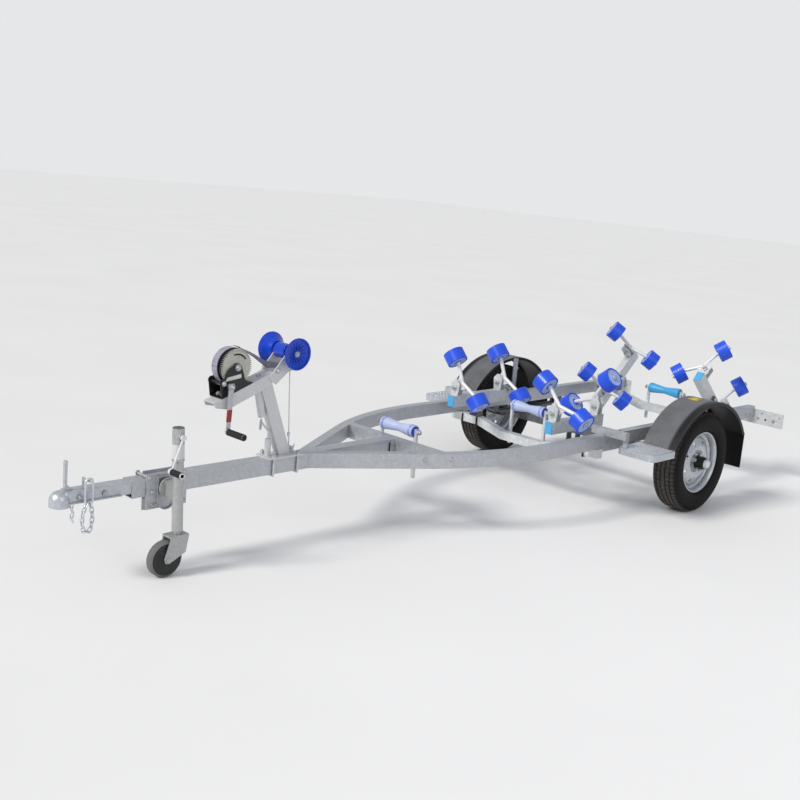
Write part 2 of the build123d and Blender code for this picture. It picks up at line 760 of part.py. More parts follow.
def make_winch_frame():
    """Two side plates that stand on the arm, with the bores of the drum and pinion shafts."""
    drum = (DRUM_X, rail_z(DRUM_Z))
    pinion = (PINION_X, rail_z(PINION_Z))
    foot_rear, foot_front = WINCH_FOOT_X
    seat_rear, seat_front = arm_top(foot_rear) + SEAT, arm_top(foot_front) + SEAT
    outline = [(foot_front, seat_front), *WINCH_PLATE, (foot_rear, seat_rear)]
    with BuildPart() as cheeks:
        for y0, y1 in WINCH_PLATE_Y:
            side_plate([(x, rail_z(height)) for x, height in outline], y0, y1)
        low, high = WINCH_PLATE_Y[0][0], WINCH_PLATE_Y[1][1]
        foot = [
            (foot_front, seat_front),
            (foot_front, seat_front + 4),
            (foot_rear, seat_rear + 4),
            (foot_rear, seat_rear),
        ]
        side_plate([(x, rail_z(height)) for x, height in foot], low, high)
        bolt_x, bolt_z = PLATE_BOLT[0], rail_z(PLATE_BOLT[1])
        rod((bolt_x, low - 6, bolt_z), (bolt_x, high + 6, bolt_z), 6)
        for (x, z), radius in ((drum, 10 + FIT), (pinion, PINION_R + FIT)):
            rod((x, low - 1, z), (x, high + 1, z), radius, mode=Mode.SUBTRACT)
    return cheeks.part


def make_winch_drum():
    """Drum on its shaft with the wound strap, two flanges and the large gear."""
    z = rail_z(DRUM_Z)
    low, high = WINCH_PLATE_Y[0][0], WINCH_PLATE_Y[1][1]
    with BuildPart() as drum:
        rod((DRUM_X, low - 7, z), (DRUM_X, high + 14, z), 10)
        rod((DRUM_X, WOUND_Y[0], z), (DRUM_X, GEAR_Y, z), DRUM_R)
        rod((DRUM_X, WOUND_Y[0], z), (DRUM_X, WOUND_Y[1], z), WOUND_R)
        rod((DRUM_X, WOUND_Y[1] + 3, z), (DRUM_X, WOUND_Y[1] + 6, z), WOUND_R - 6)
        rod((DRUM_X, GEAR_Y, z), (DRUM_X, GEAR_Y + GEAR_T, z), GEAR_R)
    return drum.part


def make_winch_crank():
    """Pinion shaft, crank arm hanging down and the grip across its end."""
    x, z = PINION_X, rail_z(PINION_Z)
    tip_x, tip_z = x + CRANK_SWEEP, z - CRANK_L
    with BuildPart() as crank:
        rod((x, WINCH_PLATE_Y[0][0] - 6, z), (x, CRANK_Y + CRANK_T + 8, z), PINION_R)
        rod((x, CRANK_Y - 6, z), (x, CRANK_Y, z), 14)
        side_plate(
            [(x - 13, z + 15), (x + 13, z + 15), (tip_x + 10, tip_z - 10), (tip_x - 10, tip_z - 10)],
            CRANK_Y,
            CRANK_Y + CRANK_T,
        )
        rod((tip_x, CRANK_Y, tip_z), (tip_x, CRANK_Y + CRANK_T + CRANK_GRIP_L, tip_z), GRIP_R + 1)
    return crank.part


def make_strap():
    """Webbing from the top of the drum, folded on edge under the bow roller, to the guide pin."""
    sections = [
        (2760.0, -26.0, 535.5, 0.0, 42.0),
        (2672.0, -20.0, 491.0, 30.0, 40.0),
        (2596.0, -10.0, 443.0, 58.0, 36.0),
        (2530.0, 0.0, 438.5, 24.0, 34.0),
        (2468.0, 0.0, 436.0, 0.0, 32.0),
    ]
    with BuildPart() as strap:
        for x, y, height, fold, width in sections:
            edge = (0, cos(radians(fold)), -sin(radians(fold)))
            with BuildSketch(Plane(origin=(x, y, rail_z(height)), x_dir=edge, z_dir=(-1, 0, 0))):
                Rectangle(width, STRAP_T)
        loft(ruled=True)
    return strap.part


ROPE_ROUTE = [(2461.0, 0.0, 424.0), (2455.0, 0.0, 300.0), (2444.0, 0.0, 108.0)]


def make_rope():
    """Rope that the strap's end holds taut down to the hook."""
    points = [(x, y, rail_z(height)) for x, y, height in ROPE_ROUTE]
    with BuildPart() as rope:
        with BuildLine() as line:
            FilletPolyline(*points, radius=900)
        with BuildSketch(Plane(origin=line.line @ 0, z_dir=line.line % 0)):
            Circle(ROPE_R)
        sweep(path=line.line)
    return rope.part


def make_rope_hook():
    """Open hook on the rope's end, through the eye on the base plate."""
    points = [(2443.6, 0, 101), (2440, 0, 50), (2435, 0, 25), (2411, 0, 23), (2405, 0, 46)]
    with BuildPart() as hook:
        with BuildLine() as line:
            FilletPolyline(*[(x, y, rail_z(height)) for x, y, height in points], radius=9)
        with BuildSketch(Plane(origin=line.line @ 0, z_dir=line.line % 0)):
            Circle(3.5)
        sweep(path=line.line)
        rod((2444.0, 0, rail_z(106)), (2443.2, 0, rail_z(88)), 7)
    return hook.part


def keel_places():
    """Centre of each keel roller, with its cross member's X and top."""
    return [
        ("front", CROSS_FRONT_X, 50.0, 0.0),
        ("middle", CROSS_MIDDLE_X, 39.0, -RAIL_H - CROSS_DIP),
        ("rear", CROSS_REAR_X, 20.0, -RAIL_H + CROSS_REAR_LIFT - CROSS_DIP),
    ]


def make_keel_stand(cross_x, height):
    """Two square stems behind the cross member, joined by the roller's bolt."""
    x = cross_x - KEEL_SET_BACK
    z = rail_z(height)
    y0 = KEEL_L / 2 + 1
    with BuildPart() as stand:
        for side in (-1, 1):
            block(
                (x - STEM_W / 2, x + STEM_W / 2),
                (side * y0, side * (y0 + STEM_W)),
                (rail_z(STEM_BOTTOM), z + 14),
            )
        rod((x, -y0 - STEM_W - 10, z), (x, y0 + STEM_W + 10, z), KEEL_PIN_R)
    return stand.part


def make_keel_clamps(cross_x, cross_top, cross_height):
    """Plates between the stems and the cross member."""
    x = cross_x - KEEL_SET_BACK + STEM_W / 2
    y0 = KEEL_L / 2 + 1
    with BuildPart() as clamps:
        for side in (-1, 1):
            block(
                (x + SEAT, cross_x - CROSS_W / 2 - SEAT),
                (side * (y0 - 12), side * (y0 + STEM_W + 12)),
                (rail_z(cross_top) - cross_height, rail_z(cross_top)),
            )
    return clamps.part


def make_keel_roller(cross_x, height):
    """Hourglass keel roller."""
    centre = (cross_x - KEEL_SET_BACK, 0, rail_z(height))
    half = KEEL_L / 2
    with BuildPart() as roller:
        turned(
            [
                (-half, KEEL_PIN_R + FIT),
                (-half, KEEL_END_R),
                (-half + 22, KEEL_END_R),
                (0, KEEL_WAIST_R),
                (half - 22, KEEL_END_R),
                (half, KEEL_END_R),
                (half, KEEL_PIN_R + FIT),
            ],
            centre,
        )
    return roller.part


def make_beam():
    """Rocker beam about its own pivot, with two pairs of upright plates and their bolts."""
    top = BEAM_H / 2
    with BuildPart() as beam:
        block((-BEAM_L / 2, BEAM_L / 2), (-BEAM_W / 2, BEAM_W / 2), (-BEAM_H / 2, top))
        block(
            (-BEAM_L / 2 + WALL, BEAM_L / 2 - WALL),
            (-BEAM_W / 2 + WALL, BEAM_W / 2 - WALL),
            (-BEAM_H / 2 + WALL, top - WALL),
            mode=Mode.SUBTRACT,
        )
        rod((0, -BEAM_W / 2, 0), (0, BEAM_W / 2, 0), BEAM_PIN_R + 6)
        rod((0, -BEAM_W / 2, 0), (0, BEAM_W / 2, 0), BEAM_PIN_R + FIT, mode=Mode.SUBTRACT)
        for end in (-1, 1):
            for face in (-1, 1):
                x = end * ARM_PITCH / 2 + face * FORK_GAP
                x0 = min(x, x + face * PLATE_T)
                with BuildSketch(Plane(origin=(x0, 0, 0), x_dir=(0, 1, 0), z_dir=(1, 0, 0))):
                    with BuildLine():
                        Polyline(
                            (-FORK_W / 2, top),
                            (FORK_W / 2, top),
                            (FORK_SHOULDER_W / 2, top + FORK_SHOULDER_H),
                            (8, top + FORK_PEAK_H),
                            (-8, top + FORK_PEAK_H),
                            (-FORK_SHOULDER_W / 2, top + FORK_SHOULDER_H),
                            close=True,
                        )
                    make_face()
                extrude(amount=PLATE_T)
            reach = FORK_GAP + PLATE_T + 10
            x = end * ARM_PITCH / 2
            rod((x - reach, 0, top + ARM_PIVOT_H), (x + reach, 0, top + ARM_PIVOT_H), BEAM_PIN_R)
    return beam.part


def make_wobble_arm():
    """Gull-wing rod about its pivot on the X axis, with a gusset and hub."""
    tip = ROLLER_Y + ROLLER_W / 2 + 4
    hub = FORK_GAP - 0.5
    with BuildPart() as arm:
        with BuildLine() as line:
            FilletPolyline(
                (0, -tip, BOOM_RISE),
                (0, -BOOM_KNEE, BOOM_RISE),
                (0, 0, BOOM_VERTEX),
                (0, BOOM_KNEE, BOOM_RISE),
                (0, tip, BOOM_RISE),
                radius=18,
            )
        with BuildSketch(Plane(origin=line.line @ 0, z_dir=line.line % 0)):
            Circle(BOOM_ROD_R)
        sweep(path=line.line)
        with BuildSketch(Plane(origin=(-4, 0, 0), x_dir=(0, 1, 0), z_dir=(1, 0, 0))):
            with BuildLine():
                Polyline((-46, 60), (46, 60), (20, -8), (-20, -8), close=True)
            make_face()
        extrude(amount=8)
        rod((-hub, 0, 0), (hub, 0, 0), 15)
        rod((-hub, 0, 0), (hub, 0, 0), BEAM_PIN_R + FIT, mode=Mode.SUBTRACT)
        for side in (-1, 1):
            y0 = side * (ROLLER_Y + ROLLER_W / 2 + 0.5)
            rod((0, y0, BOOM_RISE), (0, y0 + side * 4, BOOM_RISE), 17)
    return arm.part


def make_roller_pair():
    """Two hull rollers on one axis, given in the arm's own frame."""
    half = ROLLER_W / 2
    bore = BOOM_ROD_R + FIT
    with BuildPart() as pair:
        for side in (-1, 1):
            turned(
                [
                    (-half, bore),
                    (-half, bore + 8),
                    (-half + 5, bore + 9),
                    (-half + 5, ROLLER_R - ROLLER_WALL),
                    (-half, ROLLER_R - ROLLER_WALL + 1),
                    (-half, ROLLER_R - 2),
                    (-half + 2, ROLLER_R),
                    (half - 2, ROLLER_R),
                    (half, ROLLER_R - 2),
                    (half, ROLLER_R - ROLLER_WALL + 1),
                    (half - 5, ROLLER_R - ROLLER_WALL),
                    (half - 5, bore + 9),
                    (half, bore + 8),
                    (half, bore),
                ],
                (0, side * ROLLER_Y, BOOM_RISE),
            )
    return pair.part


def make_rocker_mount(x, y, top, pivot_z):
    """Clevis that stands on a cross member and holds a rocker beam's bolt."""
    inner = BEAM_W / 2 + BEAM_SIDE_GAP
    z0, z1 = rail_z(top), rail_z(pivot_z)
    with BuildPart() as mount:
        block(
            (x - MOUNT_BASE_HALF, x + MOUNT_BASE_HALF),
            (y - inner - PLATE_T, y + inner + PLATE_T),
            (z0, z0 + MOUNT_BASE_T),
        )
        right = [(MOUNT_BASE_HALF, z0), (18, z1 + 14), (8, z1 + 22)]
        cheek = [(x + u, z) for u, z in right] + [(x - u, z) for u, z in reversed(right)]
        for side in (-1, 1):
            side_plate(cheek, y + side * inner, y + side * (inner + PLATE_T))
        reach = inner + PLATE_T + 10
        rod((x, y - reach, z1), (x, y + reach, z1), BEAM_PIN_R)
    return mount.part


def make_tyre(side):
    """Road tyre round its rim."""
    half = TYRE_W / 2
    centre = (AXLE_X, side * TRACK / 2, wheel_z(TYRE_R, AXLE_X))
    with BuildPart() as tyre:
        turned(
            [
                (-RIM_W / 2 + 6, BEAD_R),
                (-RIM_W / 2 + 6, RIM_FLANGE_R),
                (-half + 4, RIM_FLANGE_R + 22),
                (-half, RIM_FLANGE_R + 55),
                (-half + 8, TYRE_R - 22),
                (-half + 24, TYRE_R - 4),
                (-half + 40, TYRE_R),
                (half - 40, TYRE_R),
                (half - 24, TYRE_R - 4),
                (half - 8, TYRE_R - 22),
                (half, RIM_FLANGE_R + 55),
                (half - 4, RIM_FLANGE_R + 22),
                (RIM_W / 2 - 6, RIM_FLANGE_R),
                (RIM_W / 2 - 6, BEAD_R),
            ],
            centre,
        )
    return tyre.part


def make_wheel(side):
    """Steel rim, disc, hub and dust cap, bored for the stub axle."""
    centre = (AXLE_X, side * TRACK / 2, wheel_z(TYRE_R, AXLE_X))
    half = RIM_W / 2
    with BuildPart() as wheel:
        turned(
            [
                (-half, BEAD_R - 6),
                (-half, RIM_FLANGE_R),
                (-half + 5.5, RIM_FLANGE_R),
                (-half + 5.5, BEAD_R - 0.5),
                (half - 5.5, BEAD_R - 0.5),
                (half - 5.5, RIM_FLANGE_R),
                (half, RIM_FLANGE_R),
                (half, BEAD_R - 6),
            ],
            centre,
        )
        turned(
            [
                (side * 20, BEAD_R - 2),
                (side * 38, 100),
                (side * 38, HUB_R - 4),
                (side * 44, HUB_R - 4),
                (side * 44, 104),
                (side * 26, BEAD_R - 2),
            ],
            centre,
        )
        turned(
            [
                (side * -70, STUB_R + FIT),
                (side * -70, 44),
                (side * 20, 44),
                (side * 20, 66),
                (side * 38, 66),
                (side * 38, HUB_R),
                (side * (HUB_OUT - 8), HUB_R - 2),
                (side * HUB_OUT, HUB_R - 10),
                (side * HUB_OUT, 0),
                (side * (HUB_OUT - 20), 0),
                (side * (HUB_OUT - 20), STUB_R + FIT),
            ],
            centre,
        )
    return wheel.part


def make_axle():
    """Square axle with a stub at each end."""
    z = wheel_z(TYRE_R, AXLE_X)
    end = TRACK / 2 + HUB_OUT - 25
    with BuildPart() as axle:
        block(
            (AXLE_X - AXLE_W / 2, AXLE_X + AXLE_W / 2),
            (-AXLE_HALF, AXLE_HALF),
            (z - AXLE_W / 2, z + AXLE_W / 2),
        )
        rod((AXLE_X, -end, z), (AXLE_X, end, z), STUB_R)
    return axle.part


def make_springs():
    """Leaf springs on the axle, with their hangers under the rails."""
    z = wheel_z(TYRE_R, AXLE_X) + AXLE_W / 2
    rail_bottom = rail_z(-RAIL_H)
    eye_z = rail_bottom - EYE_R - 8
    with BuildPart() as springs:
        for side in (-1, 1):
            y0, y1 = side * SPRING_Y - SPRING_W / 2, side * SPRING_Y + SPRING_W / 2
            for leaf in range(LEAVES):
                reach = SPRING_HALF * (1 - 0.2 * (LEAVES - 1 - leaf))
                low = z + leaf * LEAF_T
                sag = (eye_z - EYE_R - z - (LEAVES - 1) * LEAF_T) * (reach / SPRING_HALF) ** 2
                with BuildSketch(Plane(origin=(0, y1, 0), x_dir=(1, 0, 0), z_dir=(0, -1, 0))):
                    with BuildLine():
                        x0, x1 = AXLE_X - reach, AXLE_X + reach
                        ThreePointArc((x0, low + sag), (AXLE_X, low), (x1, low + sag))
                        Line((x1, low + sag), (x1, low + LEAF_T + sag))
                        top = low + LEAF_T
                        ThreePointArc((x1, top + sag), (AXLE_X, top), (x0, top + sag))
                        Line((x0, top + sag), (x0, low + sag))
                    make_face()
                extrude(amount=SPRING_W)
            for end in (-1, 1):
                x = AXLE_X + end * SPRING_HALF
                rod((x, y0, eye_z), (x, y1, eye_z), EYE_R)
                block((x - 30, x + 30), (y0 - 8, y1 + 8), (rail_bottom - 6, rail_bottom))
                for y in (y0 - 8, y1 + 2):
                    block((x - 20, x + 20), (y, y + 6), (eye_z - 14, rail_bottom - 6))
                rod((x, y0 - 14, eye_z), (x, y1 + 14, eye_z), 7)
    return springs.part


def make_guard(side):
    """Half-round mudguard with lips and a rear flap."""
    y = side * TRACK / 2
    start = degrees(atan2(STEP_TOP - GUARD_Z, sqrt(GUARD_R**2 - (STEP_TOP - GUARD_Z) ** 2)))
    middle = (start + GUARD_REAR_ANGLE) / 2

    def arc_point(radius, angle):
        return (GUARD_X + radius * cos(radians(angle)), GUARD_Z + radius * sin(radians(angle)))

    def arc(radius, *angles):
        return ThreePointArc(*(arc_point(radius, angle) for angle in angles))

    def band(outer, inner, y0, y1):
        with BuildSketch(Plane(origin=(0, max(y0, y1), 0), x_dir=(1, 0, 0), z_dir=(0, -1, 0))) as outline:
            with BuildLine():
                arc(outer, start, middle, GUARD_REAR_ANGLE)
                Line(arc_point(outer, GUARD_REAR_ANGLE), arc_point(inner, GUARD_REAR_ANGLE))
                arc(inner, GUARD_REAR_ANGLE, middle, start)
                Line(arc_point(inner, start), arc_point(outer, start))
            make_face()
        extrude(outline.sketch, amount=abs(y1 - y0))

    rear = arc_point(GUARD_R, GUARD_REAR_ANGLE)
    with BuildPart() as guard:
        band(GUARD_R, GUARD_R - GUARD_T, y - GUARD_W / 2, y + GUARD_W / 2)
        band(GUARD_R, GUARD_R - GUARD_LIP, y - GUARD_W / 2, y - GUARD_W / 2 + GUARD_T)
        band(GUARD_R, GUARD_R - GUARD_LIP, y + GUARD_W / 2 - GUARD_T, y + GUARD_W / 2)
        across = (y - GUARD_W / 2, y + GUARD_W / 2)
        block((rear[0] - 1, rear[0] + GUARD_T), across, (FLAP_BOTTOM, rear[1] + 6))
        block(
            (GUARD_X + GUARD_R / 2, GUARD_X + GUARD_R),
            across,
            (STEP_TOP - STEP_LIP, STEP_TOP + SEAT),
            mode=Mode.SUBTRACT,
        )
    return guard.part


def make_step(side):
    """Chequer plate step with a turned-down rim, in front of the mudguard."""
    y0, y1 = side * STEP_Y0, side * STEP_Y1
    mid_x, mid_y = (STEP_X0 + STEP_X1) / 2, (y0 + y1) / 2
    length, width = STEP_X1 - STEP_X0, STEP_Y1 - STEP_Y0
    with BuildPart() as step:
        with BuildSketch(Plane.XY.offset(STEP_TOP - STEP_LIP)):
            with Locations((mid_x, mid_y)):
                RectangleRounded(length, width, STEP_CORNER_R)
        extrude(amount=STEP_LIP)
        with BuildSketch(Plane.XY.offset(STEP_TOP - STEP_LIP)):
            with Locations((mid_x, mid_y)):
                RectangleRounded(length - 2 * STEP_T, width - 2 * STEP_T, STEP_CORNER_R - STEP_T)
        extrude(amount=STEP_LIP - STEP_T, mode=Mode.SUBTRACT)
    return step.part


def make_step_bar(side):
    """Bar over the rail that carries the step, with its drop bracket and the guard's stay."""
    y_in, y_out = RAIL_Y - RAIL_W - 35, STEP_BAR_Y1
    x0, x1 = STEP_BAR_X - STEP_BAR_W / 2, STEP_BAR_X + STEP_BAR_W / 2
    face = RAIL_Y + SEAT
    plate_x0, plate_x1 = CLAMP_PLATE_X
    with BuildPart() as bar:
        block((x0, x1), (side * y_in, side * y_out), (rail_z(0), rail_z(STEP_BAR_W)))
        block((x0 + 4, x1 - 26), (side * (y_out - 30), side * y_out), (STEP_TOP, rail_z(0)))
        block((plate_x0, plate_x1), (side * face, side * (face + 5)), (rail_z(-92), rail_z(16)))
        for x, height in ((plate_x0 + 36, -80), (plate_x1 - 10, -80), (plate_x0 + 36, 4)):
            rod((x, side * (face + 5), rail_z(height)), (x, side * (face + 12), rail_z(height)), 8)
    return bar.part


def make_guard_stay(side):
    """Flat steel stay from the rail's side up to the mudguard's inner lip."""
    face = TRACK / 2 - GUARD_W / 2
    top = GUARD_Z + GUARD_R - GUARD_T - 2
    with BuildPart() as stay:
        block((GUARD_X - 20, GUARD_X + 20), (side * RAIL_Y, side * face), (rail_z(-40), rail_z(-32)))
        block((GUARD_X - 20, GUARD_X + 20), (side * (face - 8), side * face), (rail_z(-32), top))
    return stay.part


def make_lamp_plate(side):
    """Plate across the rail's rear end that carries a lamp."""
    with BuildPart() as plate:
        block(
            (RAIL_REAR - SEAT - LAMP_T, RAIL_REAR - SEAT),
            (side * LAMP_Y0, side * LAMP_Y1),
            (rail_z(LAMP_TOP - LAMP_H), rail_z(LAMP_TOP)),
        )
    return plate.part


def joined(name, solids):
    """One node of like solids that don't touch."""
    pieces[name] = Compound(children=[s for part in solids for s in part.solids()])


# Chassis
pieces["drawbar"] = make_drawbar()
left_rail = make_rail()
pieces["rail_left"] = left_rail
pieces["rail_right"] = mirror(left_rail, about=Plane.XZ)
pieces["cross_member_front"] = make_front_cross_member()
pieces["cross_member_middle"] = make_dipped_member(CROSS_MIDDLE_X, rail_z(-RAIL_H), RAIL_Y + CROSS_OVERHANG)
pieces["cross_member_rear"] = make_dipped_member(
    CROSS_REAR_X, rail_z(CROSS_REAR_LIFT - RAIL_H), RAIL_Y - RAIL_W
)
pieces["coupler"] = make_coupler()
pieces["coupler_latch"] = make_coupler_latch()
NEAR_CHAIN = [
    (3533.0, -51.5),
    (3544.5, -69.3),
    (3551.9, -89.3),
    (3555.8, -110.1),
    (3556.3, -131.3),
    (3554.0, -152.4),
    (3546.6, -172.3),
    (3526.0, -175.4),
    (3514.0, -157.9),
    (3511.6, -136.8),
    (3510.0, -115.6),
    (3511.3, -94.4),
    (3515.4, -73.4),
    (3521.0, -52.7),
]
FAR_CHAIN = [
    (3535.0, -41.5),
    (3539.0, -62.3),
    (3534.0, -82.9),
    (3538.0, -103.7),
    (3533.0, -124.3),
    (3536.0, -145.3),
    (3532.0, -166.1),
]
joined(
    "safety_chains",
    [make_ring()] + hang_links(NEAR_CHAIN, CHAIN_Y, False) + hang_links(FAR_CHAIN, -CHAIN_Y, True),
)

# Jack
pieces["jack_mount"] = make_jack_mount()
jack_pivot = Location((JACK_X, 0, rail_z(-JACK_PIVOT_DROP)))
jack_lean = jack_pivot * Rotation(0, JACK_LEAN, 0) * jack_pivot.inverse()
pieces["jack_tube"] = jack_lean * make_jack_tube()
pieces["jack_crank"] = jack_lean * make_jack_crank()
pieces["jack_leg"] = jack_lean * make_jack_leg()
pieces["jack_fork"] = jack_lean * make_jack_fork()
pieces["jack_wheel"] = jack_lean * make_jack_wheel()

# Winch post
pieces["winch_post"] = make_winch_post()
pieces["bow_roller"] = make_bow_roller()
pieces["winch_frame"] = make_winch_frame()
pieces["winch_drum"] = make_winch_drum()
pieces["winch_crank"] = make_winch_crank()
pieces["winch_strap"] = make_strap()
pieces["winch_rope"] = make_rope()
pieces["rope_hook"] = make_rope_hook()

# Keel rollers
for label, cross_x, height, cross_top in keel_places():
    pieces[f"keel_roller_{label}"] = make_keel_roller(cross_x, height)
joined(
    "keel_stands",
    [make_keel_stand(x, height) for _, x, height, _ in keel_places()]
    + [
        make_keel_clamps(x, top, RAIL_H if label == "front" else CROSS_H)
        for label, x, _, top in keel_places()
    ],
)

# Rocker beams, arms and hull rollers: name, side, pivot, tilt nose up, lean of the front and rear arm
ROCKERS = [
    ("front_right", -1, BEAM_PIVOT_FRONT_X, BEAM_PIVOT_FRONT_Z, 0.0, -49.0, -49.0),
    ("front_left", 1, BEAM_PIVOT_FRONT_X, BEAM_PIVOT_FRONT_Z, 0.0, -31.0, 38.0),
    ("rear_right", -1, BEAM_PIVOT_REAR_X, BEAM_PIVOT_REAR_Z, -BEAM_REAR_TILT, -49.0, -49.0),
    ("rear_left", 1, BEAM_PIVOT_REAR_X, BEAM_PIVOT_REAR_Z, BEAM_REAR_TILT, 49.0, 49.0),
]
beam, arm, roller_pair = make_beam(), make_wobble_arm(), make_roller_pair()
for name, side, x, z, tilt, lean_front, lean_rear in ROCKERS:
    seat = Location((x, side * BEAM_Y, rail_z(z))) * Rotation(0, -tilt, 0)
    pieces[f"rocker_beam_{name}"] = seat * beam
    for end, lean, reach in (("a", lean_front, 0.5), ("b", lean_rear, -0.5)):
        pivot = seat * Location((reach * ARM_PITCH, 0, BEAM_H / 2 + ARM_PIVOT_H)) * Rotation(lean, 0, 0)
        pieces[f"wobble_arm_{name}_{end}"] = pivot * arm
        pieces[f"hull_rollers_{name}_{end}"] = pivot * roller_pair
joined(
    "rocker_mounts",
    [
        make_rocker_mount(
            x, side * BEAM_Y, -RAIL_H + (CROSS_REAR_LIFT if "rear" in name else 0), z
        )
        for name, side, x, z, *_ in ROCKERS
    ],
)

# Running gear
for label, side in (("left", 1), ("right", -1)):
    pieces[f"tyre_{label}"] = make_tyre(side)
    pieces[f"wheel_{label}"] = make_wheel(side)
    pieces[f"mudguard_{label}"] = make_guard(side)
pieces["axle"] = make_axle()
pieces["springs"] = make_springs()
joined("steps", [make_step(side) for side in (1, -1)])
joined("wing_brackets", [make(side) for side in (1, -1) for make in (make_step_bar, make_guard_stay)])
joined("lamp_plates", [make_lamp_plate(side) for side in (1, -1)])

# The parked stance, with the origin under the middle of the trailer
pitched = {name: Rotation(0, NOSE_DOWN, 0) * piece for name, piece in pieces.items()}
boxes = [piece.bounding_box() for piece in pitched.values()]
middle_x = (min(b.min.X for b in boxes) + max(b.max.X for b in boxes)) / 2
for name, piece in pitched.items():
    placed = Pos(-middle_x, 0, 0) * piece
    placed.label = name
    export_step(placed, f"parts/{name}.step")
print("nodes", len(pitched), "shift", round(-middle_x, 3))
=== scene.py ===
"""Looks of the boat trailer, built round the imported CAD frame."""

import json
from collections import namedtuple
from math import cos, pi, radians, sin, tan

import bmesh
import bpy
from mathutils import Matrix, Vector


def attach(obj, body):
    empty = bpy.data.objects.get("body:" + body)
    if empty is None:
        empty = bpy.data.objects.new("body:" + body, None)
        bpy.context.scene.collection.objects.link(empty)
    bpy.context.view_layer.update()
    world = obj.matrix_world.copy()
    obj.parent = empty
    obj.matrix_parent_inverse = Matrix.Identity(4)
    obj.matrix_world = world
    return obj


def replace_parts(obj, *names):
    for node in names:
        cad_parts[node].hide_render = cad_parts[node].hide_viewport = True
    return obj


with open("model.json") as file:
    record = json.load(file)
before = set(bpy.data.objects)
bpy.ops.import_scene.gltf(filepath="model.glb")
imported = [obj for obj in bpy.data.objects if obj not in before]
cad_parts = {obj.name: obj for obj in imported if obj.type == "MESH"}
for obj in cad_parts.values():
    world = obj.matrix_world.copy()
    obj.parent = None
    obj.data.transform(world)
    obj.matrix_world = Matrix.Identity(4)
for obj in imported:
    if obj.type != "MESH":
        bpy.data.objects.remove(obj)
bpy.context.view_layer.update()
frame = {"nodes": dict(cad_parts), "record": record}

# Frame, in millimetres as in the CAD: X forward, Y to the left, Z up from the top of the rails
NOSE_DOWN = 1.07
MIDDLE_X = 1235.872
RAIL_TOP = 468.5
RAIL_Y = 535.0

# Wheels and mudguards
AXLE_X = -5.6
TRACK = 1489.0
TYRE_R = 298.0
TYRE_W = 165.0
RIM_R = 181.0
WHEEL_Z = (TYRE_R + AXLE_X * sin(radians(NOSE_DOWN))) / cos(radians(NOSE_DOWN)) - RAIL_TOP
GUARD_X, GUARD_Z, GUARD_R = -29.0, 198.0 - RAIL_TOP, 460.0

# Rocker beams with their wobble arms and hull rollers
BEAM_Y, BEAM_L, BEAM_H, BEAM_W = 364.0, 480.0, 70.0, 50.0
ARM_PITCH, ARM_PIVOT_H = 391.0, 45.0
ROLLER_Y, ROLLER_W = 156.0, 74.0
BOOM_RISE = 88.0

# Pivot, tilt of the beam, and the leans of its front and rear arm in degrees
Rocker = namedtuple("Rocker", "name side x z tilt leans")
ROCKERS = (
    Rocker("front_right", -1, 655.0, 37.0, 0.0, (-49.0, -49.0)),
    Rocker("front_left", 1, 655.0, 37.0, 0.0, (-31.0, 38.0)),
    Rocker("rear_right", -1, -827.0, 44.0, -42.0, (-49.0, -49.0)),
    Rocker("rear_left", 1, -827.0, 44.0, 42.0, (49.0, 49.0)),
)

# Winch, bow roller and keel rollers
DRUM = (2791.0, 0.0, 450.0)
PINION_X, PINION_Z = 2838.0, 370.0
BOW = (2500.0, 0.0, 502.0)
KEEL_ROLLERS = (("front", 1695.0, 50.0), ("middle", 610.0, 39.0), ("rear", -875.0, 20.0))

# Jack: upright as drawn, leaning about its pivot; its wheel is given from the floor
JACK_X, JACK_Y, JACK_LEAN, JACK_PIVOT = 3153.0, 138.0, 1.8, -41.0
JACK_WHEEL = (1974.176, 138.0, 80.0)

# Directions in which fasteners stand
OUT, UP, AHEAD, BACK = (0, 1, 0), (0, 0, 1), (1, 0, 0), (-1, 0, 0)

# Chassis millimetres to the frame's metres
MILLIMETRES = Matrix.Scale(0.001, 4)
CHASSIS = Matrix.Translation((-MIDDLE_X / 1000, 0, 0)) @ Matrix.Rotation(radians(NOSE_DOWN), 4, "Y")
CHASSIS = CHASSIS @ MILLIMETRES @ Matrix.Translation((0, 0, RAIL_TOP))
JACK = CHASSIS @ Matrix.Translation((JACK_X, 0, JACK_PIVOT)) @ Matrix.Rotation(radians(JACK_LEAN), 4, "Y")
JACK = JACK @ Matrix.Translation((-JACK_X, 0, -JACK_PIVOT))


def rocker_place(rocker):
    """Matrix of a rocker beam about its pivot."""
    pivot = Matrix.Translation((rocker.x, rocker.side * BEAM_Y, rocker.z))
    return CHASSIS @ pivot @ Matrix.Rotation(radians(-rocker.tilt), 4, "Y")


def arm_seat(rocker, end):
    """Matrix of the pivot of the front (0) or rear (1) wobble arm on its beam."""
    reach = (0.5, -0.5)[end] * ARM_PITCH
    return rocker_place(rocker) @ Matrix.Translation((reach, 0, BEAM_H / 2 + ARM_PIVOT_H))


def arm_place(rocker, end):
    """Matrix of a wobble arm, leaning about its pivot."""
    return arm_seat(rocker, end) @ Matrix.Rotation(radians(rocker.leans[end]), 4, "X")


# Camera at the photograph's angle
CAMERA_AT = ((5854.9 - MIDDLE_X) / 1000, 3.9834, 1.7634)
YAW, PITCH, ROLL = radians(46.08), radians(11.156), radians(5.47)
LENS, SENSOR = 50.862, 36


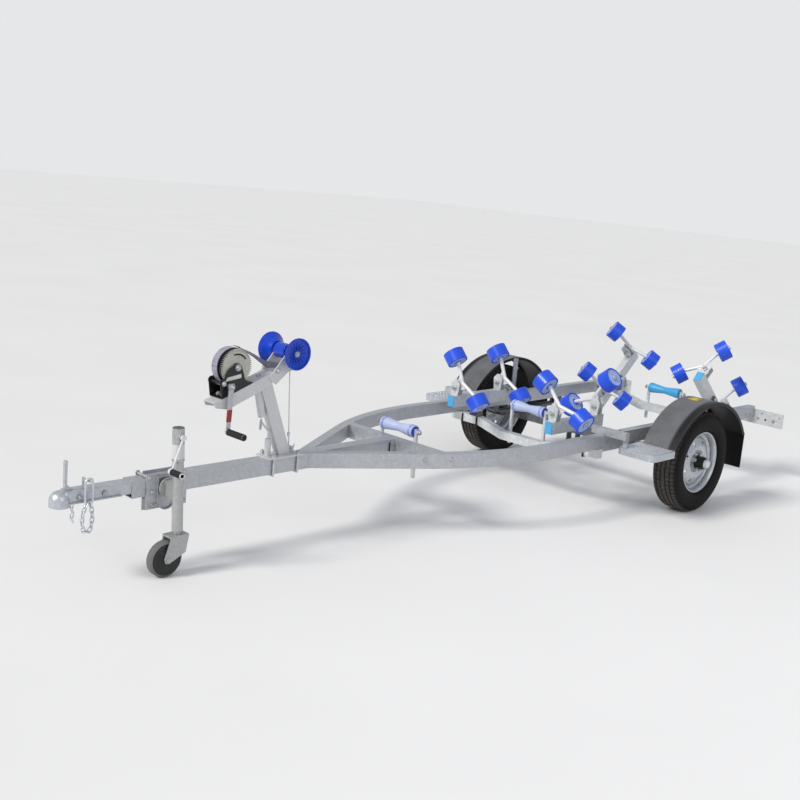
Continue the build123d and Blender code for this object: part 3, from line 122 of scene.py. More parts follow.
def photo_camera():
    """Camera that shows the trailer as in the photograph."""
    ahead = Vector((-sin(YAW) * cos(PITCH), -cos(YAW) * cos(PITCH), -sin(PITCH)))
    level_right = Vector((-cos(YAW), sin(YAW), 0))
    level_down = ahead.cross(level_right)
    right = cos(ROLL) * level_right - sin(ROLL) * level_down
    down = ahead.cross(right)
    camera = bpy.data.objects.new("camera", bpy.data.cameras.new("camera"))
    camera.data.sensor_width = SENSOR
    camera.data.lens = LENS
    camera.data.clip_end = 200
    turn = Matrix((right, -down, -ahead)).transposed().to_4x4()
    camera.matrix_world = Matrix.Translation(CAMERA_AT) @ turn
    bpy.context.scene.collection.objects.link(camera)
    bpy.context.scene.camera = camera


photo_camera()


# Materials
class Look:
    """Node tree of one material, with short names for the nodes it needs."""

    def __init__(self, name, metallic=0.0, coat=0.0, sheen=0.0, shine=0.5):
        self.material = bpy.data.materials.new(name)
        self.material.use_nodes = True
        self.tree = self.material.node_tree
        self.tree.nodes.clear()
        out = self.add("OutputMaterial")
        self.bsdf = self.add("BsdfPrincipled")
        self.wire(self.bsdf.outputs[0], out.inputs[0])
        self.bsdf.inputs["Metallic"].default_value = metallic
        self.bsdf.inputs["Coat Weight"].default_value = coat
        self.bsdf.inputs["Sheen Weight"].default_value = sheen
        self.bsdf.inputs["Specular IOR Level"].default_value = shine
        self.where = self.add("TexCoord").outputs["Object"]

    def add(self, kind, **values):
        node = self.tree.nodes.new("ShaderNode" + kind)
        for key, value in values.items():
            setattr(node, key, value)
        return node

    def wire(self, source, target):
        self.tree.links.new(source, target)

    def stretched(self, scale):
        mapping = self.add("Mapping")
        mapping.inputs["Scale"].default_value = scale
        self.wire(self.where, mapping.inputs["Vector"])
        return mapping.outputs[0]

    def noise(self, scale, detail=4.0, rough=0.55, vector=None):
        node = self.add("TexNoise")
        node.inputs["Scale"].default_value = scale
        node.inputs["Detail"].default_value = detail
        node.inputs["Roughness"].default_value = rough
        self.wire(vector or self.where, node.inputs["Vector"])
        return node.outputs["Fac"]

    def cells(self, scale):
        """Random grey of each cell."""
        node = self.add("TexVoronoi", feature="F1")
        node.inputs["Scale"].default_value = scale
        self.wire(self.where, node.inputs["Vector"])
        grey = self.add("RGBToBW")
        self.wire(node.outputs["Color"], grey.inputs[0])
        return grey.outputs[0]

    def bands(self, direction, scale, distortion=0.0):
        node = self.add("TexWave", wave_type="BANDS", bands_direction=direction)
        node.inputs["Scale"].default_value = scale
        node.inputs["Distortion"].default_value = distortion
        self.wire(self.where, node.inputs["Vector"])
        return node.outputs["Fac"]

    def distance(self, centre):
        """Distance from an axis along Y through a point."""
        offset = self.add("VectorMath", operation="SUBTRACT")
        offset.inputs[1].default_value = centre
        self.wire(self.where, offset.inputs[0])
        flat = self.add("VectorMath", operation="MULTIPLY")
        flat.inputs[1].default_value = (1, 0, 1)
        self.wire(offset.outputs[0], flat.inputs[0])
        length = self.add("VectorMath", operation="LENGTH")
        self.wire(flat.outputs[0], length.inputs[0])
        return length.outputs["Value"]

    def across(self):
        """Distance to either side of the middle plane."""
        apart = self.add("SeparateXYZ")
        self.wire(self.where, apart.inputs[0])
        return self.math("ABSOLUTE", apart.outputs[1])

    def ramp(self, fac, *stops):
        node = self.add("ValToRGB")
        for _ in range(len(stops) - 2):
            node.color_ramp.elements.new(0.5)
        for element, (place, colour) in zip(node.color_ramp.elements, stops):
            element.position = place
            element.color = (*colour, 1)
        self.wire(fac, node.inputs[0])
        return node.outputs[0]

    def span(self, fac, low, high, start=0.0, end=1.0):
        node = self.add("MapRange")
        for key, value in (("From Min", start), ("From Max", end), ("To Min", low), ("To Max", high)):
            node.inputs[key].default_value = value
        self.wire(fac, node.inputs["Value"])
        return node.outputs[0]

    def math(self, operation, *values):
        node = self.add("Math", operation=operation)
        for value, target in zip(values, node.inputs):
            self.wire(value, target)
        return node.outputs[0]

    def mix(self, fac, a, b):
        node = self.add("Mix", data_type="RGBA")
        if isinstance(fac, float):
            node.inputs[0].default_value = fac
        else:
            self.wire(fac, node.inputs[0])
        self.wire(a, node.inputs[6])
        self.wire(b, node.inputs[7])
        return node.outputs[2]

    def bump(self, height, distance, strength=1.0, previous=None):
        node = self.add("Bump")
        node.inputs["Strength"].default_value = strength
        node.inputs["Distance"].default_value = distance
        self.wire(height, node.inputs["Height"])
        if previous:
            self.wire(previous, node.inputs["Normal"])
        return node.outputs[0]

    def edges(self, radius):
        node = self.add("Bevel", samples=4)
        node.inputs["Radius"].default_value = radius
        return node.outputs[0]

    def finish(self, colour, roughness, normal=None):
        self.wire(colour, self.bsdf.inputs["Base Color"])
        self.wire(roughness, self.bsdf.inputs["Roughness"])
        if normal:
            self.wire(normal, self.bsdf.inputs["Normal"])
        return self.material


def darker(colour, share):
    """Colour at a share of its strength."""
    return [value * share for value in colour]


def zinc(name, dull, mid, bright, metallic, rough, cell=70.0):
    """Hot-dip zinc: spangle cells, drifting tone and faint runs."""
    look = Look(name, metallic=metallic)
    wobble = look.noise(18.0, 3.0)
    spangle = look.cells(cell)
    tone = look.ramp(spangle, (0.15, dull), (0.5, mid), (0.85, bright))
    cloud = look.ramp(look.noise(3.5, 5.0, 0.6), (0.32, dull), (0.68, bright))
    runs = look.noise(6.0, 4.0, 0.6, look.stretched((9, 9, 1.2)))
    stain = look.ramp(runs, (0.34, darker(dull, 0.80)), (0.50, mid))
    colour = look.mix(look.span(wobble, 0.0, 0.22), look.mix(0.35, tone, cloud), stain)
    roughness = look.span(spangle, rough - 0.07, rough + 0.10)
    grain = look.bump(look.noise(260.0, 2.0), 0.0004, 0.5, look.edges(0.0016))
    return look.finish(colour, roughness, look.bump(spangle, 0.0001, 0.35, grain))


def moulded(name, colour, pale, rough, coat=0.0, shine=0.5):
    """Rubber or plastic with a fine grain, drifting tone and pale scuffs."""
    look = Look(name, coat=coat, shine=shine)
    drift = look.noise(9.0, 4.0)
    base = look.ramp(drift, (0.3, darker(colour, 0.82)), (0.7, colour))
    rubbed = look.noise(46.0, 6.0, 0.7, look.stretched((1, 2.6, 1)))
    scuffs = look.ramp(rubbed, (0.55, colour), (0.78, pale))
    mixed = look.mix(look.span(drift, 0.0, 0.5), base, scuffs)
    roughness = look.span(rubbed, rough - 0.06, rough + 0.12)
    return look.finish(mixed, roughness, look.bump(look.noise(420.0, 3.0), 0.0003, 0.5, look.edges(0.0015)))


def tyre_rubber(name, centre):
    """Black side walls and a dusty brown tread, told apart by the distance from the wheel's axis."""
    look = Look(name, shine=0.12)
    rubbed = look.noise(46.0, 6.0, 0.7)
    wall = look.ramp(look.noise(9.0), (0.3, (0.006, 0.006, 0.006)), (0.7, (0.012, 0.012, 0.012)))
    dust = look.ramp(rubbed, (0.3, (0.040, 0.036, 0.032)), (0.7, (0.105, 0.094, 0.084)))
    worn = look.span(look.distance(centre), 0.0, 1.0, 0.282, 0.296)
    normal = look.bump(look.noise(300.0, 3.0), 0.0003, 0.5, look.edges(0.0012))
    return look.finish(look.mix(worn, wall, dust), look.span(rubbed, 0.5, 0.75), normal)


def guard_plastic_with_painted_light(name, centre):
    """Textured plastic, lighter along the crown with dust and a painted sheen, and near-black at its outer
    edge and on its underside with painted shade.
    """
    look = Look(name, shine=0.22)
    cloud = look.noise(7.0, 5.0, 0.65)
    # Near-black tone: painted shade for the outer edge and the underside
    dark = look.ramp(cloud, (0.3, (0.008, 0.008, 0.009)), (0.7, (0.014, 0.014, 0.016)))
    # Lighter tone: dust on the crown together with a painted sheen
    dusty = look.ramp(cloud, (0.3, (0.085, 0.087, 0.094)), (0.7, (0.140, 0.141, 0.148)))
    # Mask that is 0 along the outer edge, where the painted shade goes
    inner = look.span(look.across(), 1.0, 0.0, 0.795, 0.815)
    # Mask that is 0 on the underside, where the painted shade goes
    not_shaded_underneath = look.span(look.distance(centre), 0.0, 1.0, 0.4575, 0.4590)
    colour = look.mix(look.math("MULTIPLY", inner, not_shaded_underneath), dark, dusty)
    normal = look.bump(look.noise(240.0, 3.0), 0.0004, 0.6, look.edges(0.003))
    return look.finish(colour, look.span(cloud, 0.30, 0.48), normal)


def webbing(name, dark, pale):
    """Woven polyester: fine ribs across, soiled in patches."""
    look = Look(name, sheen=0.25)
    ribs = look.bands("X", 170.0, 1.5)
    dirt = look.noise(22.0, 5.0)
    thread = look.ramp(ribs, (0.2, dark), (0.8, pale))
    soiled = look.ramp(dirt, (0.35, darker(dark, 0.75)), (0.65, pale))
    normal = look.bump(ribs, 0.0006, 0.7)
    return look.finish(look.mix(0.4, thread, soiled), look.span(dirt, 0.62, 0.86), normal)


def laid_rope(name):
    """Laid rope: slanting strands with dust between them."""
    look = Look(name, sheen=0.2)
    strands = look.bands("DIAGONAL", 130.0)
    colour = look.ramp(strands, (0.1, (0.36, 0.35, 0.32)), (0.7, (0.74, 0.73, 0.70)))
    return look.finish(colour, look.span(look.noise(90.0), 0.6, 0.85), look.bump(strands, 0.0008, 0.8))


# Zinc and steel: dull, middle and bright tone, metallic, roughness, spangle cells a metre
GALV = zinc("galvanised", (0.40, 0.41, 0.43), (0.45, 0.46, 0.485), (0.52, 0.535, 0.565), 0.55, 0.38)
# Paler copy of the galvanised zinc, for parts whose faces stand in the light: painted light
LIT_ZINC_COPY = zinc("lit_zinc_copy", (0.52, 0.54, 0.54), (0.60, 0.62, 0.62), (0.68, 0.70, 0.71), 0.40, 0.42)
BRIGHT = zinc("bright_steel", (0.60, 0.61, 0.62), (0.68, 0.69, 0.71), (0.76, 0.77, 0.79), 0.25, 0.46, 110.0)
WINCH_ARM = zinc(
    "winch_post_zinc", (0.52, 0.52, 0.53), (0.57, 0.57, 0.58), (0.63, 0.64, 0.65), 0.30, 0.46, 240.0
)
COUPLER = zinc("coupler_zinc", (0.43, 0.44, 0.47), (0.49, 0.505, 0.54), (0.56, 0.58, 0.62), 0.55, 0.34, 80.0)
JACK_ZINC = zinc("jack_zinc", (0.36, 0.37, 0.365), (0.41, 0.42, 0.415), (0.47, 0.48, 0.48), 0.50, 0.36, 90.0)
DARK = zinc("dark_steel", (0.08, 0.08, 0.09), (0.13, 0.13, 0.14), (0.20, 0.21, 0.22), 0.5, 0.48)
RIM = zinc("wheel_steel", (0.42, 0.44, 0.46), (0.52, 0.54, 0.57), (0.66, 0.68, 0.72), 0.70, 0.32, 160.0)
FASTENER = zinc(
    "fastener_zinc", (0.34, 0.35, 0.36), (0.46, 0.47, 0.48), (0.60, 0.61, 0.62), 0.75, 0.36, 200.0
)
CHAIN = zinc("chain_zinc", (0.52, 0.54, 0.57), (0.64, 0.66, 0.70), (0.76, 0.78, 0.82), 0.60, 0.32, 200.0)
GEAR = zinc("gear_zinc", (0.38, 0.37, 0.33), (0.46, 0.45, 0.40), (0.56, 0.55, 0.50), 0.5, 0.40, 160.0)
TREAD_PLATE = zinc("step_plate", (0.40, 0.43, 0.47), (0.48, 0.51, 0.55), (0.58, 0.61, 0.65), 0.65, 0.34)
# Paler than the step plate they stand on: painted glint on the raised bars
TREAD_BARS_PAINTED_GLINT = zinc("tread_bars_painted_glint", (0.66, 0.69, 0.72), (0.74, 0.77, 0.80), (0.82, 0.85, 0.88), 0.60, 0.30, 200.0)

# Rubber, plastic and paint: colour, colour of the scuffs, roughness
BLACK_RUBBER = moulded("black_rubber", (0.010, 0.010, 0.011), (0.05, 0.05, 0.05), 0.50, shine=0.3)
WORN_RUBBER = moulded("worn_rubber", (0.16, 0.16, 0.16), (0.30, 0.30, 0.29), 0.66, shine=0.3)
BLUE = moulded("blue_rubber", (0.014, 0.078, 0.66), (0.13, 0.30, 0.84), 0.32, coat=0.10, shine=0.35)
DEEP_BLUE = moulded("deep_blue_rubber", (0.004, 0.050, 0.52), (0.04, 0.17, 0.80), 0.24, coat=0.25, shine=0.3)
LAVENDER = moulded("pale_rubber", (0.42, 0.48, 0.70), (0.70, 0.73, 0.87), 0.42)
CYAN = moulded("cyan_rubber", (0.05, 0.36, 0.66), (0.34, 0.66, 0.84), 0.34, coat=0.1)
PLUG_BLUE = moulded("plug_plastic", (0.06, 0.36, 0.66), (0.34, 0.66, 0.85), 0.40)
HUB_FACE = moulded("hub_face_plastic", (0.30, 0.40, 0.72), (0.62, 0.68, 0.86), 0.44)
BLACK_PAINT = moulded("black_paint", (0.008, 0.008, 0.009), (0.05, 0.05, 0.05), 0.30, coat=0.10, shine=0.4)
RED = moulded("red_tape", (0.30, 0.022, 0.018), (0.50, 0.16, 0.14), 0.45)
LABEL = moulded("blank_label", (0.64, 0.65, 0.64), (0.74, 0.74, 0.72), 0.40)
YELLOW = moulded("blank_sticker", (0.74, 0.58, 0.03), (0.80, 0.72, 0.30), 0.42)

# Tyre, mudguard, strap and rope
TYRE = tyre_rubber("tyre", tuple(CHASSIS @ Vector((AXLE_X, 0, WHEEL_Z))))
# Mudguard material with dust, a painted sheen on the crown and painted shade at its edge and underside
GUARD_DUST_AND_PAINTED_LIGHT = guard_plastic_with_painted_light("mudguard_dust_and_painted_light", tuple(CHASSIS @ Vector((GUARD_X, 0, GUARD_Z))))
# Same webbing as the wound roll in darker tones: painted shade of the strap's underside
SHADED_STRAP = webbing("webbing", (0.065, 0.062, 0.085), (0.16, 0.15, 0.20))
WOUND = webbing("wound_webbing", (0.15, 0.145, 0.19), (0.34, 0.33, 0.42))
ROPE = laid_rope("rope")

# Looks of the CAD nodes: by the slot, unless the node has its own
SLOTS = dict(
    galvanised=GALV, bright_steel=BRIGHT, dark_steel=DARK, wheel_steel=RIM, chain_zinc=CHAIN,
    tyre=TYRE, dark_plastic=GUARD_DUST_AND_PAINTED_LIGHT, black_rubber=BLACK_RUBBER, black_paint=BLACK_PAINT,
    blue_rubber=BLUE, deep_blue_rubber=DEEP_BLUE, pale_rubber=LAVENDER, cyan_rubber=CYAN,
    rope=ROPE, webbing=SHADED_STRAP,
)
OWN_LOOK = {
    "winch_post": WINCH_ARM,
    "steps": TREAD_PLATE,
    "coupler": COUPLER,
    "coupler_latch": COUPLER,
    "jack_tube": JACK_ZINC,
    "jack_leg": JACK_ZINC,
    "jack_fork": JACK_ZINC,
    "jack_crank": BRIGHT,
    "jack_wheel": WORN_RUBBER,
    # These parts take the lit copy of the zinc: painted light
    "cross_member_middle": LIT_ZINC_COPY,
    "cross_member_rear": LIT_ZINC_COPY,
    "keel_stands": LIT_ZINC_COPY,
    "lamp_plates": LIT_ZINC_COPY,
}
# The rocker beams take the lit copy of the zinc as well: painted light
OWN_LOOK.update({f"rocker_beam_{rocker.name}": LIT_ZINC_COPY for rocker in ROCKERS})
for subpart in frame["record"]["subparts"]:
    shown = frame["nodes"][subpart["node"]]
    shown.data.materials.clear()
    shown.data.materials.append(OWN_LOOK.get(subpart["node"], SLOTS[subpart["material_slot"]]))


# Mesh helpers: shapes fill a bmesh in millimetres, mostly as stacks of rings of points
def piece(name, mesh, place, material, body, smooth=35.0, modifiers=()):
    """Object from a bmesh, placed by a matrix and riding on a body."""
    bmesh.ops.recalc_face_normals(mesh, faces=mesh.faces)
    data = bpy.data.meshes.new(name)
    mesh.to_mesh(data)
    mesh.free()
    data.transform(place)
    data.materials.append(material)
    made = bpy.data.objects.new(name, data)
    bpy.context.scene.collection.objects.link(made)
    for kind, values in modifiers:
        modifier = made.modifiers.new(kind.lower(), kind)
        for key, value in values.items():
            setattr(modifier, key, value)
    if smooth:
        for polygon in data.polygons:
            polygon.use_smooth = True
        data.set_sharp_from_angle(angle=radians(smooth))
    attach(made, body)
    return made


def shell(thickness, offset=0.0):
    """Modifier that gives an open surface its thickness, in metres."""
    return "SOLIDIFY", {"thickness": thickness, "offset": offset}


def skin(mesh, rings, closed=False, opening=None):
    """Quads between neighbouring rings of points; closed joins the last ring to the first."""
    made = [[mesh.verts.new(point) for point in ring] for ring in rings]
    pairs = list(zip(made, made[1:]))
    if closed:
        pairs.append((made[-1], made[0]))
    for index, (low, high) in enumerate(pairs):
        for i in range(len(low)):
            j = (i + 1) % len(low)
            if opening is None or not opening(index, i):
                mesh.faces.new((low[i], low[j], high[j], high[i]))
    return made


def solid(mesh, rings):
    """Skin over rings of points, with a flat face at both ends."""
    made = skin(mesh, rings)
    mesh.faces.new(made[0])
    mesh.faces.new(made[-1])


def polar(centre, y, radius, angle):
    """Point at a radius and an angle about an axis along Y."""
    return (centre[0] + radius * cos(angle), centre[1] + y, centre[2] + radius * sin(angle))


def circles(profile, centre, segments):
    """Rings of points about an axis along Y, one for each (Y, radius) of a profile."""
    angles = [2 * pi * index / segments for index in range(segments)]
    return [[polar(centre, y, radius, angle) for angle in angles] for y, radius in profile]


def lathe(mesh, profile, centre, segments=96, closed=True):
    """Profile of (Y, radius) turned about the Y axis through a centre."""
    skin(mesh, circles(profile, centre, segments), closed)


def turned_solid(mesh, profile, centre, segments=64):
    """Turned solid whose first and last rings are closed by flat faces."""
    solid(mesh, circles(profile, centre, segments))


def facing(profile, side):
    """Profile of (Y, radius) turned to a side."""
    return [(side * y, radius) for y, radius in profile]


def aim(direction):
    """Rotation that takes Z to a direction."""
    return Vector(direction).to_track_quat("Z", "Y").to_matrix().to_4x4()


def prism(mesh, matrix, profile, segments):
    """Polygons given as (height, radius) along a matrix's Z axis, closed at both ends."""
    turns = [(cos(2 * pi * index / segments), sin(2 * pi * index / segments)) for index in range(segments)]
    solid(mesh, [[matrix @ Vector((r * c, r * s, height)) for c, s in turns] for height, r in profile])


WASHER_T = 2.0
THREAD_TURNS, THREAD_PITCH = 4, 1.1


def hex_nut(mesh, point, direction, across, height, thread=True, washer=True):
    """Washer, chamfered hexagon and a stub of thread, standing on a face."""
    matrix = Matrix.Translation(point) @ aim(direction)
    base = 0.0
    if washer:
        outer = across * 0.76
        prism(mesh, matrix, [(0, outer), (WASHER_T - 0.4, outer), (WASHER_T, across * 0.72)], 24)
        base = WASHER_T
    corner, top = across * 0.577, base + height
    prism(mesh, matrix, [(base, corner), (top - 1.2, corner), (top, corner * 0.86)], 6)
    if thread:
        screw = [(top - 0.5, across * 0.27)]
        for turn in range(THREAD_TURNS):
            root = top + turn * THREAD_PITCH
            screw += [(root + 0.3, across * 0.30), (root + 0.8, across * 0.26)]
        prism(mesh, matrix, screw, 14)


def nuts(name, body, places, across=17.0, height=8.0, place=CHASSIS, thread=True):
    """One piece of like nuts, each given as (point, direction)."""
    mesh = bmesh.new()
    for point, direction in places:
        hex_nut(mesh, point, direction, across, height, thread)
    return piece(name, mesh, place, FASTENER, body, smooth=30.0)


def mirrored(places):
    """Places given as (point, direction), on both sides of the trailer."""
    made = []
    for side in (1, -1):
        for (x, y, z), (ahead, out, up) in places:
            made.append(((x, side * y, z), (ahead, side * out, up)))
    return made


def rounded_box(mesh, low, high, radius):
    """Box with bevelled edges between two corners."""
    made = bmesh.ops.create_cube(mesh, size=1.0)["verts"]
    middle = [(a + b) / 2 for a, b in zip(low, high)]
    size = [abs(b - a) for a, b in zip(low, high)]
    for vert in made:
        vert.co = Vector([m + v * s for m, v, s in zip(middle, vert.co, size)])
    edges = list({edge for vert in made for edge in vert.link_edges})
    bmesh.ops.bevel(mesh, geom=edges, offset=radius, segments=3, affect="EDGES")


# Road tyres: five ribs, cross grooves in the shoulders, ringed side walls
BLOCKS = 70
BLOCK_SKEW = 0.25
# Along a block's pitch, and whether the point lies in the cross groove
BLOCK_STEPS = ((0.0, 0), (0.74, 0), (0.80, 1), (0.94, 1))
GROOVES = (43.0, 15.0, -15.0, -43.0)
GROOVE_HALF, GROOVE_FOOT, GROOVE_DEPTH = 4.5, 3.2, 7.0
SHOULDER_DROP = 5.5


def tyre_profile():
    """Closed section of the tyre as (Y, radius, depth of the cross grooves)."""
    half = TYRE_W / 2
    side = [
        (58.0, RIM_R - 6, 0), (58.0, RIM_R, 0),
        (64.0, RIM_R + 6, 0), (72.0, RIM_R + 13, 0),
        (73.5, RIM_R + 14, 0), (73.5, RIM_R + 17, 0),
        (half - 4.5, RIM_R + 26, 0), (half - 1.0, RIM_R + 44, 0),
        (half, RIM_R + 58, 0), (half - 1.5, RIM_R + 72, 0),
        (half - 1.5, RIM_R + 75, 0), (half - 4.0, RIM_R + 84, 0),
        (half - 8.0, TYRE_R - 24, 0), (half - 12.0, TYRE_R - 16, SHOULDER_DROP),
        (half - 17.0, TYRE_R - 8, SHOULDER_DROP), (half - 24.0, TYRE_R - 3.5, SHOULDER_DROP),
    ]
    crown = []
    for groove in GROOVES:
        edge = TYRE_R - 3.0 * (groove / 50) ** 2
        depth = 4.0 if abs(groove) > 20 else 2.0
        crown += [
            (groove + GROOVE_HALF, edge, depth),
            (groove + GROOVE_FOOT, edge - GROOVE_DEPTH, 0),
            (groove - GROOVE_FOOT, edge - GROOVE_DEPTH, 0),
            (groove - GROOVE_HALF, edge, depth),
        ]
        if groove == 15.0:
            crown.append((0.0, TYRE_R - 0.2, 0.0))
    return side + crown + [(-y, r, depth) for y, r, depth in reversed(side)]


def tyre(centre, label):
    """Tyre with its ribs and cross grooves."""
    rings = []
    for y, radius, depth in tyre_profile():
        skew = BLOCK_SKEW * (y / TYRE_W) if depth else 0.0
        ring = []
        for block in range(BLOCKS):
            for step, sunk in BLOCK_STEPS:
                angle = 2 * pi * (block + step + skew) / BLOCKS
                ring.append(polar(centre, y, radius - depth * sunk, angle))
        rings.append(ring)
    mesh = bmesh.new()
    skin(mesh, rings, closed=True)
    made = piece("tyre_tread_" + label, mesh, CHASSIS, TYRE, "road_wheel_" + label, smooth=28.0)
    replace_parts(made, "tyre_" + label)


# Wheels: sections as (Y outwards, radius)
RIM_SECTION = (
    (61.0, 181.0), (63.5, 179.5), (64.0, 177.0), (62.5, 174.5), (57.0, 171.0),
    (51.0, 166.5), (33.0, 164.5), (29.0, 166.0), (25.0, 163.0), (18.0, 149.0),
    (10.0, 146.5), (-12.0, 146.5), (-20.0, 149.0), (-27.0, 163.0), (-50.0, 166.0),
    (-57.0, 171.0), (-62.5, 174.5), (-64.0, 177.0), (-61.0, 181.0),
)
DISC_RINGS = ((44, 37), (44, 46), (44, 68), (47, 76), (47, 92))
DISC_RINGS += ((44, 101), (41, 109), (34, 127), (27, 137), (20, 147))
HUB_SECTION = ((-60, 20), (-60, 44), (40, 44), (46, 40), (46, 36), (92, 35), (98, 32), (98, 27))
DUST_CAP_SECTION = ((97, 26), (100, 27), (104, 25), (114, 24), (118, 20), (120, 12), (120, 3))
VENTS, VENT_STEPS, VENT_RING = 8, 12, 6
# How far a vent's corners move along the disc's ring, in steps
VENT_PULL = {VENT_RING: -0.75, VENT_RING + 1: 0.6}
LUGS, LUG_R, LUG_Y = 5, 56.0, 45.5


def from_vent(step):
    """Steps along the disc's ring from the middle of the nearest vent."""
    return step % VENT_STEPS - VENT_STEPS // 2


def wheel_disc(mesh, centre, side):
    """Pressed disc with a ring of vents."""
    count = VENTS * VENT_STEPS
    rings = []
    for index, (y, radius) in enumerate(DISC_RINGS):
        ring = []
        for step in range(count):
            local = from_vent(step)
            pull = VENT_PULL.get(index, 0.0) * local if abs(local) == 1 else 0.0
            ring.append(polar(centre, side * y, radius, 2 * pi * (step + pull) / count))
        rings.append(ring)
    skin(mesh, rings, opening=lambda index, step: index == VENT_RING and from_vent(step) in (-1, 0))


def wheel(centre, side, label):
    """Rim, disc, hub and dust cap, with the lug nuts."""
    body = "road_wheel_" + label
    rim, disc, hub, dust_cap = (bmesh.new() for _ in range(4))
    lathe(rim, facing(RIM_SECTION, side), centre, 160, closed=False)
    wheel_disc(disc, centre, side)
    turned_solid(hub, facing(HUB_SECTION, side), centre)
    turned_solid(dust_cap, facing(DUST_CAP_SECTION, side), centre)
    parts = (
        ("rim_", rim, RIM, "wheel_steel", 40.0, [shell(0.003)]),
        ("wheel_disc_", disc, RIM, "wheel_steel", 40.0, [shell(0.004)]),
        ("hub_", hub, BLACK_PAINT, "black_paint", 35.0, ()),
        ("dust_cap_", dust_cap, BRIGHT, "wheel_steel", 35.0, ()),
    )
    for name, mesh, material, slot, smooth, modifiers in parts:
        made = piece(name + label, mesh, CHASSIS, material, body, smooth, modifiers)
        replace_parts(made, "wheel_" + label)
    angles = [2 * pi * (index + 0.3) / LUGS for index in range(LUGS)]
    lugs = [(polar(centre, side * LUG_Y, LUG_R, angle), (0, side, 0)) for angle in angles]
    nuts("lug_nuts_" + label, body, lugs, across=20.0, height=15.0)


for side, label in ((1, "left"), (-1, "right")):
    hub_centre = (AXLE_X, side * TRACK / 2, WHEEL_Z)
    tyre(hub_centre, label)
    wheel(hub_centre, side, label)

# Winch drum: toothed gear with its slot, flanges, wound webbing and shaft
TEETH = 54
GEAR_RINGS = (11, 24, 40, 55, 62, 69, 73, 83)
GEAR_Y = 25
SLOT_RING, SLOT_FROM, SLOT_TO = 3, 150, 194
TURNS, TURN_H = 32, 1.6
INNER_FLANGE = ((-4, 29), (-4, 82), (-3, 84), (-1, 84), (0, 82.5), (0, 29))
OUTER_FLANGE = ((10, 29.5), (10, 81), (11, 82.5), (15, 82.5), (16, 81), (16, 29.5))
CORE_SECTION = ((-46, 29), (-46, 30), (21, 30), (21, 29))
SHAFT_SECTION = ((-60, 8), (-59, 10), (38, 10), (38, 15), (40, 16), (41, 15), (41, 9), (51, 9), (52, 7))


def drum_gear():
    """Gear as a sheet with four points to each tooth and one long slot."""
    count = TEETH * 4

    def in_slot(index, step):
        return index == SLOT_RING and SLOT_FROM <= (step + count // 2) % count < SLOT_TO

    rings = []
    for radius in GEAR_RINGS:
        ring = []
        for step in range(count):
            between = radius == GEAR_RINGS[-1] and step % 4 in (2, 3)
            r = GEAR_RINGS[-2] + 0.6 if between else radius
            ring.append(polar(DRUM, GEAR_Y, r, 2 * pi * (step + 0.5) / count))
        rings.append(ring)
    mesh = bmesh.new()
    skin(mesh, rings, opening=in_slot)
    bevel = ("BEVEL", {"width": 0.0005, "segments": 2, "limit_method": "ANGLE"})
    return piece("drum_gear", mesh, CHASSIS, GEAR, "winch_drum", 30.0, [shell(0.008), bevel])


def wound_strap():
    """Roll of webbing whose turns show as fine steps on both faces."""
    section = [(-46, 30)]
    section += [(-46 + 0.5 * (turn % 2), 32 + turn * TURN_H) for turn in range(TURNS)]
    section += [(-45.4, 83.6), (-44, 84), (-26, 83.6), (-8, 84), (-6.6, 83.6)]
    section += [(-6 - 0.5 * (turn % 2), 82.4 - turn * TURN_H) for turn in range(TURNS)]
    section.append((-6, 30))
    mesh = bmesh.new()
    lathe(mesh, section, DRUM)
    return piece("wound_strap", mesh, CHASSIS, WOUND, "winch_drum", smooth=50.0)


def drum_flange():
    """Two black flanges on their core."""
    mesh = bmesh.new()
    lathe(mesh, INNER_FLANGE, DRUM)
    lathe(mesh, OUTER_FLANGE, DRUM)
    turned_solid(mesh, CORE_SECTION, DRUM)
    return piece("drum_flange", mesh, CHASSIS, BLACK_PAINT, "winch_drum")


def drum_shaft():
    """Shaft with the nut at its near end."""
    mesh = bmesh.new()
    turned_solid(mesh, SHAFT_SECTION, DRUM)
    hex_nut(mesh, (DRUM[0], 41, DRUM[2]), OUT, 22.0, 8.0, thread=False, washer=False)
    return piece("drum_shaft", mesh, CHASSIS, FASTENER, "winch_drum")


for make in (drum_gear, wound_strap, drum_flange, drum_shaft):
    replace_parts(make(), "winch_drum")

# Strap from the drum to its guide pin: x, y, z, fold on edge in degrees, width
STRAP_SECTIONS = (
    (2760.0, -26.0, 535.5, 0.0, 42.0),
    (2672.0, -20.0, 491.0, 30.0, 40.0),
    (2596.0, -10.0, 443.0, 58.0, 36.0),
    (2530.0, 0.0, 438.5, 24.0, 34.0),
    (2468.0, 0.0, 436.0, 0.0, 32.0),
)
STRAP_STEPS = 48
# Half of the strap's outline as (share of its width, height)
STRAP_HALF = ((-0.5, -1.3), (-0.46, -1.5), (0.46, -1.5), (0.5, -1.3))


